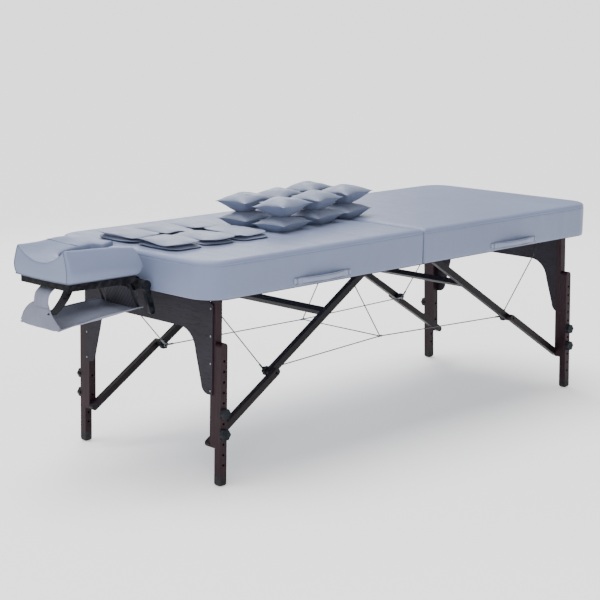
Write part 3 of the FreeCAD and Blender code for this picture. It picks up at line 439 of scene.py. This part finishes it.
# ---- upholstered halves ---------------------------------------------------------------------
def plan_ring(sign, inset, z, wobble=0.0):
    """One half's rounded outline at a height, taken in by an inset, from the hinge side round."""
    roll = MIDDLE_ROUNDING[sign] if z > TOP - 16 * MM else 1.0
    x0, x1 = HALF_GAP + inset + (roll - 1) * max(0, min(inset, 15 * MM)), HALF_LENGTH - inset
    y = HALF_WIDTH - inset
    big = max(CORNER - inset, 45 * MM)
    small = max(MIDDLE_CORNERS[sign] - inset * 0.6, min(inset, 40 * MM), 2 * MM)
    corners = [(x1 - big, y - big, big, 0), (x0 + small, y - small, small, 90),
               (x0 + small, -y + small, small, 180), (x1 - big, -y + big, big, 270)]
    ring = []
    straight, arc_steps = 26, 12
    for n, (cx, cy, r, start) in enumerate(corners):
        for k in range(arc_steps + 1):
            t = math.radians(start + 90 * k / arc_steps)
            ring.append(Vector((cx + r * math.cos(t), cy + r * math.sin(t), z)))
        nx, ny, nr, nstart = corners[(n + 1) % 4]
        t = math.radians(nstart)
        last, following = ring[-1], Vector((nx + nr * math.cos(t), ny + nr * math.sin(t), z))
        ring += [last.lerp(following, k / straight) for k in range(1, straight)]
    out = []
    for p in ring:
        lift = wobble * noise.noise(Vector((p.x * 14 * sign + 3, p.y * 14, 5 * z)))
        out.append(Vector((HINGE_X + sign * p.x, p.y, z + lift)))
    return out if sign > 0 else out[::-1]


def upholstered_half(end, sign):
    """The cover as it looks: tucked hem, taut sides, sewn edge seam, rounded rim and soft crown."""
    side = TOP - UNDERSIDE
    seam = TOP - SEAM_DROP
    # Each ring: how far in from the side in millimetres, its height, and its unevenness in millimetres.
    profile = [(7, UNDERSIDE - 0.2 * MM, 0), (2.5, UNDERSIDE + 0.3 * MM, 0), (0.6, UNDERSIDE + 2 * MM, 0),
               (0, UNDERSIDE + 6 * MM, 0), (-0.5, UNDERSIDE + side * 0.3, 0),
               (-0.8, UNDERSIDE + side * 0.6, 0), (-1.1, seam - 6 * MM, 0), (-1.0, seam - 2.5 * MM, 0),
               (-0.4, seam - 1.2 * MM, 0),
               (0.7, seam, 0), (-0.4, seam + 1.2 * MM, 0), (-0.6, seam + 2.5 * MM, 0),
               (0.4, seam + 7 * MM, 0), (3.2, seam + 10.8 * MM, 0), (8, seam + 13.8 * MM, 0),
               (15, seam + 15.4 * MM, 0.3), (30, TOP + 0.4 * MM, 0.8), (60, TOP + 1.1 * MM, 1.2),
               (110, TOP + 1.6 * MM, 1.6), (180, TOP + 2.0 * MM, 1.2)]
    rings = [plan_ring(sign, inset * MM, z, wobble * MM) for inset, z, wobble in profile]
    points, faces = skin_rings(rings)
    cover = make_object(end + "_upholstery", points, faces, MATERIALS["upholstery"], end + "_half")
    modify(cover, "SUBSURF", levels=1, render_levels=1)
    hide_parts(end + "_cover", end + "_foam")


def handle_rings(stations, sign, z, half):
    """Rounded sections through a handle's stations, on the near or the far side."""
    pad, sides = 3.0 * MM, 14
    rings = []
    for x, y, tall, thick in stations:
        ring = []
        for k in range(sides):
            t = 2 * math.pi * k / sides
            c, si = math.cos(t), math.sin(t)
            ring.append(Vector((x, sign * (y + pad * thick * math.copysign(abs(c) ** 0.8, c)),
                                z + half * tall * math.copysign(abs(si) ** 0.7, si))))
        rings.append(ring)
    return rings


def carrying_handles(end):
    """Soft padded straps of the cover's leather, drawn in a lighter copy of it as painted light, sewn down at
    both ends and standing off in the middle.
    """
    lo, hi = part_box(end + "_handles")
    z = (lo.z + hi.z) / 2
    half = (hi.z - lo.z) / 2
    skin = HALF_WIDTH + 3 * MM
    out = hi.y - 2 * MM
    x0, x1 = lo.x, hi.x
    # Each station: its place along the handle, its distance out, and its shares of the height and padding.
    stations = [(x0, skin - 1.5 * MM, 0.7, 0.6), (x0 + 0.004, skin, 0.95, 0.9), (x0 + 0.028, skin, 1.0, 0.8),
                (x0 + 0.045, skin + 4 * MM, 0.93, 1.3), (x0 + 0.08, out, 0.9, 1.6),
                ((x0 + x1) / 2, out, 0.88, 1.7),
                (x1 - 0.08, out, 0.9, 1.6), (x1 - 0.045, skin + 4 * MM, 0.93, 1.3),
                (x1 - 0.028, skin, 1.0, 0.8), (x1 - 0.004, skin, 0.95, 0.9), (x1, skin - 1.5 * MM, 0.7, 0.6)]
    for label, sign in (("near", -1), ("far", 1)):
        rings = handle_rings(stations, sign, z, half)
        points, faces = skin_rings(rings)
        piece = make_object(f"{end}_{label}_handle", points, faces, MATERIALS["handle_leather_painted_light"],
                            end + "_half")
        modify(piece, "SUBSURF", levels=2, render_levels=2)
        # The stitch lines along both edges and the tacks at the ends are drawn in the darker piping leather,
        # as painted shade along the handle's edges.
        for edge in (-1, 1):
            line = smooth_path([(x, sign * (y + 2.4 * MM * thick), z + edge * half * tall * 0.80)
                                for x, y, tall, thick in stations[1:-1]], 5)
            tube(f"{end}_{label}_handle_stitch_{edge + 1}", line, PIPING_RADIUS, PIPING_PAINTED_SHADE, end + "_half", 6)
        for at in (x0 + 0.012, x0 + 0.030, x1 - 0.030, x1 - 0.012):
            line = smooth_path([(at, sign * (skin + 2.0 * MM), z - half * 0.8),
                                (at, sign * (skin + 3.4 * MM), z),
                                (at, sign * (skin + 2.0 * MM), z + half * 0.8)], 5)
            tube(f"{end}_{label}_handle_tack_{int(at * 1000)}", line, PIPING_RADIUS, PIPING_PAINTED_SHADE, end + "_half", 6)
    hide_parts(end + "_handles")


# ---- face cushion ---------------------------------------------------------------------------
def along_line(points, count):
    """Evenly spaced places on a line of points."""
    lengths = [(b - a).length for a, b in zip(points, points[1:])]
    total = sum(lengths)
    out = []
    for k in range(count):
        want = total * k / (count - 1)
        i = 0
        while i < len(lengths) - 1 and want > lengths[i]:
            want -= lengths[i]
            i += 1
        out.append(points[i].lerp(points[i + 1], min(want / max(lengths[i], 1e-9), 1)))
    return out


def bend(at, before, after, radius, count=6):
    """A rounded corner as points."""
    p = at + (before - at).normalized() * radius
    q = at + (after - at).normalized() * radius
    turns = [k / count for k in range(count + 1)]
    return [(1 - t) ** 2 * p + 2 * t * (1 - t) * at + t ** 2 * q for t in turns]


def horseshoe(lo, hi):
    """Pairs of places on the outer and the inner edge, from the near rear end round to the far one."""
    overhang, taper = 14 * MM, 6 * MM
    rear, front = hi.x + overhang, lo.x
    wide, narrow = hi.y, hi.y - taper
    slot, hole = 7 * MM, 44 * MM
    tip = front + 122 * MM
    shoulder = rear - 42 * MM
    slot_end, rear_corner, front_corner = (Vector((rear, -slot, 0)), Vector((rear, -wide, 0)),
                                           Vector((front, -narrow, 0)))
    nose = Vector((front, 0, 0))
    rear_bend = bend(rear_corner, slot_end, front_corner, 30 * MM)
    front_bend = bend(front_corner, rear_corner, nose, 11 * MM)
    outer = [along_line([slot_end, *rear_bend[:4]], 8)[:-1],
             along_line([*rear_bend[3:], *front_bend[:4]], 16)[:-1],
             along_line([*front_bend[3:], nose], 12)]
    arc = [Vector((tip - hole * math.sin(t), -hole * math.cos(t), 0))
           for t in [math.pi / 2 * k / 8 for k in range(9)]]
    neck = bend(Vector((shoulder, -slot, 0)), slot_end, Vector((shoulder - 10 * MM, -hole, 0)), 8 * MM, 3)
    inner = [along_line([slot_end, *neck], 8)[:-1],
             along_line([neck[-1], Vector((shoulder - 14 * MM, -hole, 0)), arc[0]], 16)[:-1],
             along_line(arc, 12)]
    pairs = [pair for a, b in zip(outer, inner) for pair in zip(a, b)]
    twins = [tuple(Vector((p.x, -p.y, 0)) for p in pair) for pair in reversed(pairs[:-1])]
    return pairs + twins


def cushion_top(lo, hi, p):
    """Height of the top: full cheeks, low across the brow, the near cheek a little fuller."""
    across = max(0.0, 1 - (p.y / (112 * MM)) ** 2)
    along = (p.x - lo.x) / (hi.x - lo.x)
    dip = (46 * MM * (1 - along) + 12 * MM * along) * across ** 0.8
    hump = 6 * MM * math.sin(math.pi * min(max((along - 0.3) / 0.6, 0), 1)) * (1 - across)
    fall = (10 * MM - p.y * 0.06) * along if p.y < 0 else 0
    return hi.z - 7 * MM - p.y * 0.03 - dip + hump * (0.4 if p.y < 0 else 1) - fall


# Each step of a wall: how far in it stands in millimetres, and its share of the full height.
CUSHION_WALLS = {"side": [(24, 0.0), (13, 0.04), (5, 0.14), (0.5, 0.30), (2, 0.42), (9, 0.60), (18, 0.78),
                          (26, 0.92), (30, 0.97), (36, 1.0)],
                 "front": [(9, 0.0), (3, 0.04), (1, 0.14), (0, 0.30), (0, 0.42), (0.5, 0.60), (1, 0.78),
                           (1.5, 0.93), (3.5, 0.985), (9, 1.0)],
                 "rear": [(14, 0.0), (7, 0.04), (3, 0.14), (0, 0.30), (1, 0.42), (4, 0.60), (8, 0.78),
                          (13, 0.92), (17, 0.97), (24, 1.0)]}
OPENING_WALL = [(6, 0.985), (1, 0.93), (-1, 0.75), (-2, 0.5), (-1, 0.28), (2, 0.1), (9, 0.0)]


def cushion_ring(lo, hi, outer, inner):
    """One section of the cushion: up its outer wall, over the crown and down into the opening."""
    gap = (inner - outer).length
    reach = min(1.0, gap / (80 * MM))
    inward = (inner - outer).normalized() if gap > 1 * MM else Vector((-1, 0, 0))
    front = min(max((lo.x + 14 * MM - outer.x) / (14 * MM), 0), 1)
    rear = min(max((outer.x - hi.x + 30 * MM) / (30 * MM), 0), 1)
    flank = max(1 - front - rear, 0)
    side = Vector((0, -math.copysign(1, outer.y) if outer.y else 0, 0))
    ring = []
    for at_side, at_front, at_rear in zip(*CUSHION_WALLS.values()):
        narrow = at_side[0] * MM * (abs(outer.y) / hi.y) ** 1.5 * (1 - 0.25 * front)
        p = outer + side * narrow + Vector((at_front[0] * MM * front - at_rear[0] * MM * rear, 0, 0))
        level = at_front[1] * front + at_rear[1] * rear + at_side[1] * flank
        level /= front + rear + flank
        ring.append(Vector((p.x, p.y, lo.z + (cushion_top(lo, hi, p) - lo.z) * level)))
    start = ring[-1]
    for share in (0.3, 0.55, 0.8):
        p = start.lerp(inner, share)
        ring.append(Vector((p.x, p.y, cushion_top(lo, hi, p) + (3 - 2 * share) * MM * reach)))
    height = cushion_top(lo, hi, inner) - lo.z
    for inset, level in OPENING_WALL:
        p = inner - inward * inset * 0.7 * MM * reach
        ring.append(Vector((p.x, p.y, lo.z + height * level)))
    return ring


def cushion_seams(rings, pairs, lo):
    """Piping round the bottom, and seams over the brow, up both front corners and over the far cheek, drawn
    in the darker piping leather as painted shade along them.
    """
    def seam(name, line, radius, sides):
        tube("face_cushion_" + name, line, radius, PIPING_PAINTED_SHADE, "cushion", sides)

    seam("piping_bottom", [ring[1] for ring in rings[3:-3]], PIPING_RADIUS, 8)
    corners = [i for i, pair in enumerate(pairs) if pair[0].x < lo.x + 2 * MM]
    seam("brow_seam", [ring[8] for ring in rings[corners[0]:corners[-1] + 1]], SEAM_RADIUS, 6)
    for label, i in (("near", corners[0]), ("far", corners[-1])):
        seam(label + "_seam", smooth_path(rings[i][1:9], 4), SEAM_RADIUS, 6)
    seam_x = lo.x + 100 * MM
    place = min(range(len(rings) // 2, len(rings)), key=lambda i: abs(rings[i][0].x - seam_x))
    lift = Vector((0, 0, 0.2 * MM))
    seam("top_seam", smooth_path([p + lift for p in rings[place][9:14]], 4), SEAM_RADIUS, 6)


def face_cushion():
    """The horseshoe cushion on the cradle, with the slight unevenness of a stuffed cover."""
    lo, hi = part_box("face_cushion")
    pairs = horseshoe(lo, hi)
    rings = [cushion_ring(lo, hi, outer, inner) for outer, inner in pairs]
    for ring in rings:
        for k, p in enumerate(ring[2:-2]):
            p += Vector((0, 0, 1)) * 1.6 * MM * noise.noise(p * 22) * (1 if 5 < k < 14 else 0.3)
    points, faces = skin_rings(rings)
    cushion = make_object("face_cushion_padded", points, faces, MATERIALS["upholstery"], "cushion")
    modify(cushion, "SUBSURF", levels=2, render_levels=2)
    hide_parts("face_cushion")
    cushion_seams(rings, pairs, lo)


# ---- arm sling ------------------------------------------------------------------------------
def arm_sling():
    """A cloth shelf: an upright half-oval lip in front, then a shallow trough running to the table."""
    lo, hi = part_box("arm_sling")
    half = hi.y
    front_x = lo.x + 1 * MM
    low_z, rear_z, lip = lo.z, lo.z + 24 * MM, hi.z - lo.z
    columns, lip_rows, shelf_rows = 21, 9, 22
    rim_rise, sag_depth = 15 * MM, 9 * MM
    grid = []
    for r in range(lip_rows):
        t = r / lip_rows
        for c in range(columns):
            u = 2 * c / (columns - 1) - 1
            width = half * (1 - t * 0.02)
            slope = max(0.0, (-u - 0.36) / 0.64)
            oval, dropped = math.sqrt(max(0.0, 1 - u * u * 0.97)), 0.16 + 0.84 * (1 - slope ** 0.55)
            edge = lip * (oval if u > -0.1 else dropped)
            z = low_z + edge * (1 - t) + 1 * MM * t
            lean = 7 * MM * ((z - low_z) / lip) ** 2 + 10 * MM * u * u * (z - low_z) / lip
            grid.append(Vector((front_x + lean, u * width, z)))
    for r in range(shelf_rows):
        t = r / (shelf_rows - 1)
        for c in range(columns):
            u = 2 * c / (columns - 1) - 1
            upturn = max(0.0, (abs(u) - 0.6) / 0.4) ** 1.4
            rim = rim_rise * upturn * math.sin(math.pi * (0.1 + 0.7 * t)) ** 0.7
            sag = sag_depth * math.sin(math.pi * t) * (1 - u * u)
            z = low_z + (rear_z - low_z) * t + rim - sag * 0.6 + 1 * MM
            grid.append(Vector((front_x + (hi.x - front_x) * t, u * half * (1 - 0.02 * t), z)))
    rows = lip_rows + shelf_rows
    for p in grid:
        p.z += 1.0 * MM * noise.noise(p * 26)
    faces = [(r * columns + c, r * columns + c + 1, (r + 1) * columns + c + 1, (r + 1) * columns + c)
             for r in range(rows - 1) for c in range(columns - 1)]
    cloth = MATERIALS["sling_fabric"]
    sling = make_object("arm_sling_cloth", grid, faces, cloth, "cradle")
    modify(sling, "SOLIDIFY", thickness=2.2 * MM, offset=0)
    modify(sling, "SUBSURF", levels=1, render_levels=1)
    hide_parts("arm_sling")
    for label, c in (("near", 0), ("far", columns - 1)):
        rim = [grid[r * columns + c] for r in range(lip_rows, rows)]
        tube(f"arm_sling_{label}_binding", rim, 2.2 * MM, cloth, "cradle", 8)
    tube("arm_sling_lip_binding", grid[:columns], 2.0 * MM, cloth, "cradle", 8)
    sling_straps(lo, hi)


def sling_straps(lo, hi):
    """The broad front strap, two webbing straps and a mesh at the rear, and a strap with a buckle."""
    strap_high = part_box("sling_straps")[1]
    top = strap_high.z - 1 * MM
    front_width, web_width, mesh_width = 74 * MM, 15 * MM, 168 * MM
    web = MATERIALS["webbing"]
    path = smooth_path([(lo.x + 4 * MM, -6 * MM, hi.z - 16 * MM), (lo.x + 5 * MM, -4 * MM, hi.z + 3 * MM),
                        (lo.x + 16 * MM, 2 * MM, hi.z + 24 * MM), (lo.x + 44 * MM, 8 * MM, top)])
    front = strap("sling_front_strap", path, (0, front_width, 0), 2.4 * MM, MATERIALS["sling_fabric"],
                  "cradle")
    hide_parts("sling_straps")
    for label, sign in (("near", -1), ("far", 1)):
        y = sign * (strap_high.y - 8 * MM)
        path = smooth_path([(hi.x - 5 * MM, y, lo.z + 25 * MM), (hi.x - 24 * MM, y, lo.z + 60 * MM),
                            (hi.x - 50 * MM, y, top)])
        strap(f"sling_{label}_strap", path, (0, web_width, 0), 2.2 * MM, web, "cradle")
    path = smooth_path([(hi.x - 4 * MM, 0, lo.z + 26 * MM), (hi.x - 6 * MM, 0, lo.z + 45 * MM),
                        (hi.x - 12 * MM, 0, top - 22 * MM)])
    strap("sling_rear_mesh", path, (0, mesh_width, 0), 1.6 * MM, MATERIALS["mesh_fabric"], "cradle")
    start = Vector((lo.x + 58 * MM, -70 * MM, top))
    end = Vector((lo.x + 7 * MM, -50 * MM, hi.z - 34 * MM))
    bow = Vector((5 * MM, 0, -3 * MM))
    path = smooth_path([start, start.lerp(end, 0.35) + bow, start.lerp(end, 0.7) + bow, end])
    strap("sling_buckle_strap", path, (21 * MM, -21 * MM, 0), 2.2 * MM, web, "cradle")
    buckle("sling_buckle", start.lerp(end, 0.22) + Vector((4 * MM, 0, -3 * MM)), (start - end).normalized())


def buckle(name, centre, along):
    """A ladder-lock buckle: a rounded frame with a middle bar."""
    across = Vector((0, 1, 0))
    w, h = 15 * MM, 13 * MM
    corner = [(-1, -0.7), (-0.7, -1), (0.7, -1), (1, -0.7), (1, 0.7), (0.7, 1), (-0.7, 1), (-1, 0.7)]
    line = [centre + across * (a * w) + along * (b * h) for a, b in corner]
    plastic = MATERIALS["cradle_plastic"]
    tube(name + "_frame", line, 2.2 * MM, plastic, "cradle", 8, closed=True)
    tube(name + "_bar", [centre - across * w, centre + across * w], 1.8 * MM, plastic, "cradle", 8)


# ---- loose pads -----------------------------------------------------------------------------
FLAT_PAD = {"bulge": -1 * MM, "pull": -4.5, "power": 0.6, "lift": 0.5, "twist": 2.5}
PILLOW = {"bulge": -15 * MM, "pull": 0.14, "power": 0.62, "lift": 3.0, "twist": 5}
PILLOW_TURN = math.radians(12)
PILLOW_SIZE = (178 * MM, 138 * MM)
LINK_WIDTH = 35 * MM


def pad_outline(u, v, pull):
    """A place on the unit square, drawn in between the corners or, for a negative pull, rounded off."""
    if pull > 0:
        return u * (1 - pull * (1 - v * v)), v * (1 - pull * (1 - u * u))
    reach = max(abs(u), abs(v), 1e-6)
    round_off = max((abs(u) / reach) ** -pull + (abs(v) / reach) ** -pull, 1) ** (1 / pull)
    return u * round_off, v * round_off


def stuffed_square(name, centre, size, turn, body, seed, pull, power, flatten, curl):
    """A stuffed square of two sheets sewn at the edge, with dimpled faces and a curled rim."""
    sx, sy, sz = size
    steps = 22
    crease_depth, ripple_depth, dimple_depth = 0.09, 0.10, 0.16
    top, bottom = {}, {}
    points, faces = [], []
    spin = Matrix.Rotation(turn, 3, "Z")
    for sheet, sign in ((top, 1), (bottom, -1)):
        for a in range(steps + 1):
            for b in range(steps + 1):
                u = math.sin((2 * a / steps - 1) * math.pi / 2)
                v = math.sin((2 * b / steps - 1) * math.pi / 2)
                edge = a in (0, steps) or b in (0, steps)
                if edge and sign < 0:
                    sheet[a, b] = top[a, b]
                    continue
                x, y = pad_outline(u, v, pull)
                full = max(0.0, (1 - u * u) * (1 - v * v)) ** power
                limit = 1 - flatten if sign < 0 else 1
                z = sign * sz * (0.5 - 0.12 * sign * (pull > 0)) * min(full, limit)
                crease = noise.noise(Vector((u * 2.6 + seed, v * 2.6, sign))) * crease_depth
                ripple = noise.noise(Vector((math.atan2(v, u) * 3.0, seed * 2.0, sign))) * ripple_depth
                rim = (u * u * v * v) + 0.25 * (u ** 4 + v ** 4)
                z *= 1 + crease + ripple * rim
                if pull > 0 and sign > 0:
                    dimple = math.exp(-((u - 0.25) ** 2 + (v + 0.2) ** 2) * 9)
                    z -= sz * dimple_depth * dimple * (0.6 + crease * 4)
                wave = noise.noise(Vector((u * 1.1 + seed * 3, v * 1.1, seed))) + 0.15
                z += curl * wave * max(u * u, v * v)
                sheet[a, b] = len(points)
                points.append(Vector(centre) + spin @ Vector((x * sx / 2, y * sy / 2, z)))
    for sheet, flip in ((top, False), (bottom, True)):
        for a in range(steps):
            for b in range(steps):
                face = (sheet[a, b], sheet[a + 1, b], sheet[a + 1, b + 1], sheet[a, b + 1])
                faces.append(face[::-1] if flip else face)
    pad = make_object(name, points, faces, MATERIALS["pad_fabric"], body)
    modify(pad, "SUBSURF", levels=1, render_levels=1)
    border = ([(0, b) for b in range(steps)] + [(a, steps) for a in range(steps)]
              + [(steps, steps - b) for b in range(steps)] + [(steps - a, 0) for a in range(steps)])
    tube(name + "_edge", [points[top[spot]] for spot in border], SEAM_RADIUS, MATERIALS["pad_fabric"], body,
         6, closed=True)
    return pad


def pad_mat(node, seam, turn, pad, origin, across, thick, curl):
    """Layers of stuffed squares in the places of the CAD mat, with the links between them."""
    columns, rows, layers = 3, 2, 2
    lo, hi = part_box(node)
    ex = Vector((math.cos(turn), math.sin(turn), 0))
    ey = Vector((math.sin(turn), -math.cos(turn), 0))
    step = (hi.z - lo.z) / layers
    size = (across[0] + pad["bulge"], across[1] + pad["bulge"], thick)
    first = None
    for layer in range(layers):
        z = lo.z + step * (layer + 0.5)
        flatten = 0.12 if layer == 0 else 0.0
        for column in range(columns):
            for row in range(rows):
                centre = (Vector((*origin, z)) + ex * ((column + 0.5) * across[0] + column * seam)
                          + ey * ((row + 0.5) * across[1] + row * seam))
                seed = 17.3 * layer + 3.1 * column + 1.7 * row + across[0] * 10
                wander = Vector((random.uniform(-5, 5), random.uniform(-5, 5),
                                 random.uniform(-1, 1) * pad["lift"])) * MM
                twist = turn + math.radians(random.uniform(-1, 1) * pad["twist"])
                square = stuffed_square(f"{node}_{layer}_{column}_{row}", centre + wander, size, twist, node,
                                        seed, pad["pull"], pad["power"], flatten, curl * (layer + 0.6))
                first = first or square
                for along, side, reach, last in ((ex, ey, across[0], column == columns - 1),
                                                 (ey, ex, across[1], row == rows - 1)):
                    if last:
                        continue
                    start = centre + along * (reach * 0.40)
                    middle = start + along * (reach * 0.1 + seam / 2) - Vector((0, 0, 1.5 * MM))
                    strap(f"{node}_link_{layer}_{column}_{row}_{int(reach * 1000)}",
                          [start, middle, start + along * (reach * 0.2 + seam)], side * LINK_WIDTH, 2.4 * MM,
                          MATERIALS["pad_fabric"], node)
    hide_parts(node)


def loose_pads():
    """The two mats that lie on the head half: flat pads in line with it, and pillows turned a little."""
    seam = 8 * MM
    lo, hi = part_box("flat_pads")
    size = ((hi.x - lo.x - 2 * seam) / 3, (hi.y - lo.y - seam) / 2)
    pad_mat("flat_pads", seam, 0, FLAT_PAD, (lo.x, hi.y), size, 24 * MM, 5 * MM)
    lo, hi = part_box("pillow_pads")
    origin = (lo.x, lo.y + (2 * PILLOW_SIZE[1] + seam) * math.cos(PILLOW_TURN))
    pad_mat("pillow_pads", seam, PILLOW_TURN, PILLOW, origin, PILLOW_SIZE, 70 * MM, 5 * MM)


# ---- steel cables ---------------------------------------------------------------------------
CABLE_RADIUS = 1.9 * MM
SLEEVE_RADIUS = 3.4 * MM
MEET_Y = 188 * MM


def fold_flat(piece):
    """The cables have no tension left once the legs fold; here each piece only gets a mesh of its own."""
    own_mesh(piece)
    return piece


def cable(name, ends, body):
    """A straight run of cable, pulled tight between two places."""
    return tube(name, ends, CABLE_RADIUS, MATERIALS["cable_steel"], body, 8)


def sleeve(name, at, way, reaches, body):
    """A pressed sleeve on a cable, from the first reach to the last in millimetres."""
    path = [at + way * reach * MM for reach in reaches]
    return tube(name, path, SLEEVE_RADIUS, MATERIALS["steel"], body, 12)


def cables():
    """On each side a cable from brace joint to brace joint and one up to each end, joined at the middle."""
    lo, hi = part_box("side_cables")
    middle_low, middle_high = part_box("centre_cables")
    knob_low, knob_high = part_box("head_far_brace_knob")
    joint_x, joint_z = (knob_high.x + knob_low.x) / 2, (knob_high.z + knob_low.z) / 2
    joint_y = knob_low.y - 3 * MM
    meet_z = middle_low.z + 1.6 * MM
    top = hi.z - 1 * MM
    eye_turns = [2 * math.pi * k / 20 for k in range(20)]
    pieces = []
    for label, sign in (("near", -1), ("far", 1)):
        meet = Vector((HINGE_X, sign * MEET_Y, meet_z))
        for end, s in (("head", -1), ("foot", 1)):
            joint = Vector((HINGE_X + s * (HINGE_X - joint_x), sign * joint_y, joint_z))
            anchor = Vector((HINGE_X + s * (HINGE_X - lo.x), sign * joint_y, top))
            body = end + "_half"
            pieces += [cable(f"{end}_{label}_long_cable", [meet, joint], body),
                       cable(f"{end}_{label}_end_cable", [joint, anchor], body)]
            for n, target in enumerate((meet, anchor)):
                way = (target - joint).normalized()
                pieces.append(sleeve(f"{end}_{label}_ferrule_{n}", joint, way, (4, 7, 26, 29), body))
            ring = [joint + Vector((6 * MM * math.cos(t), 0, 6 * MM * math.sin(t))) for t in eye_turns]
            pieces.append(tube(f"{end}_{label}_eye", ring, 1.6 * MM, MATERIALS["steel"], body, 8,
                               closed=True))
        eye = Vector((middle_low.x + 4 * MM, 0, middle_high.z - 4 * MM))
        pieces += [cable(f"{label}_centre_cable", [meet, eye], "head_half"),
                   sleeve(f"{label}_junction", meet, Vector((1, 0, 0)), (-9, -6, 6, 9), "head_half")]
    cross = cable("cross_cable", [Vector((HINGE_X, -MEET_Y, meet_z)), Vector((HINGE_X, MEET_Y, meet_z))],
                  "head_half")
    for piece in [*pieces, cross]:
        fold_flat(piece)
    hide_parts("side_cables")
    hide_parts("centre_cables")


# ---- light, floor and camera ----------------------------------------------------------------
FLOOR_REACH = 400.0
FLOOR_SHADE, FLOOR_GLOW, WORLD_GLOW = 0.88, 0.35, 0.4
LAMP_AIM = Vector((0, 0, 0.6))
LAMPS = (("key", (-2.6, -2.2, 2.4), 40, 1.6), ("back", (2.0, 3.0, 2.6), 60, 2.0))
SUN_STRENGTH, SUN_SPREAD, SUN_TILT = 4.6, 50, (-12, -6)
CAMERA_FROM_HINGE = (-3.8316, -3.7626, 1.4808)
CAMERA_DOWN, CAMERA_RIGHT = 11.381, 44.027
FOCAL_LENGTH, SENSOR_WIDTH = 94.88, 36.0


def add_to_scene(name, data, place, turn):
    obj = bpy.data.objects.new(name, data)
    obj.location = place
    obj.rotation_euler = turn
    bpy.context.scene.collection.objects.link(obj)
    return obj


def stage():
    """A pale floor that reaches past the horizon, a white world, two weak lamps and a broad light above."""
    floor_mat = bpy.data.materials.new("studio_floor")
    floor_mat.use_nodes = True
    surface = floor_mat.node_tree.nodes["Principled BSDF"]
    surface.inputs["Base Color"].default_value = rgb(FLOOR_SHADE, FLOOR_SHADE, FLOOR_SHADE)
    surface.inputs["Roughness"].default_value = 0.9
    surface.inputs["Emission Color"].default_value = rgb(1, 1, 1)
    surface.inputs["Emission Strength"].default_value = FLOOR_GLOW
    mesh = bpy.data.meshes.new("studio_floor")
    corners = [(-1, -1), (1, -1), (1, 1), (-1, 1)]
    mesh.from_pydata([(FLOOR_REACH * x, FLOOR_REACH * y, 0) for x, y in corners], [], [(0, 1, 2, 3)])
    mesh.materials.append(floor_mat)
    add_to_scene("studio_floor", mesh, (0, 0, 0), (0, 0, 0))
    world = bpy.data.worlds.new("studio")
    bpy.context.scene.world = world
    world.use_nodes = True
    background = world.node_tree.nodes["Background"]
    background.inputs["Color"].default_value = rgb(1, 1, 1)
    background.inputs["Strength"].default_value = WORLD_GLOW
    for name, place, energy, spread in LAMPS:
        data = bpy.data.lights.new(name, "AREA")
        data.energy = energy
        data.size = spread
        add_to_scene(name, data, place, (LAMP_AIM - Vector(place)).to_track_quat("-Z", "Y").to_euler())
    data = bpy.data.lights.new("overhead", "SUN")
    data.energy = SUN_STRENGTH
    data.angle = math.radians(SUN_SPREAD)
    add_to_scene("overhead", data, (0, 0, 4), (math.radians(SUN_TILT[0]), math.radians(SUN_TILT[1]), 0))


def camera():
    """Stands off the head end's near side and looks slightly down along the table."""
    data = bpy.data.cameras.new("camera")
    data.lens = FOCAL_LENGTH
    data.sensor_width = SENSOR_WIDTH
    x, y, z = CAMERA_FROM_HINGE
    turn = (math.radians(90 - CAMERA_DOWN), 0, math.radians(-CAMERA_RIGHT))
    bpy.context.scene.camera = add_to_scene("camera", data, (HINGE_X + x, y, z), turn)


dress_nodes()
stage()
camera()
upholstered_half("head", -1)
upholstered_half("foot", 1)
carrying_handles("head")
carrying_handles("foot")
face_cushion()
arm_sling()
loose_pads()
cables()
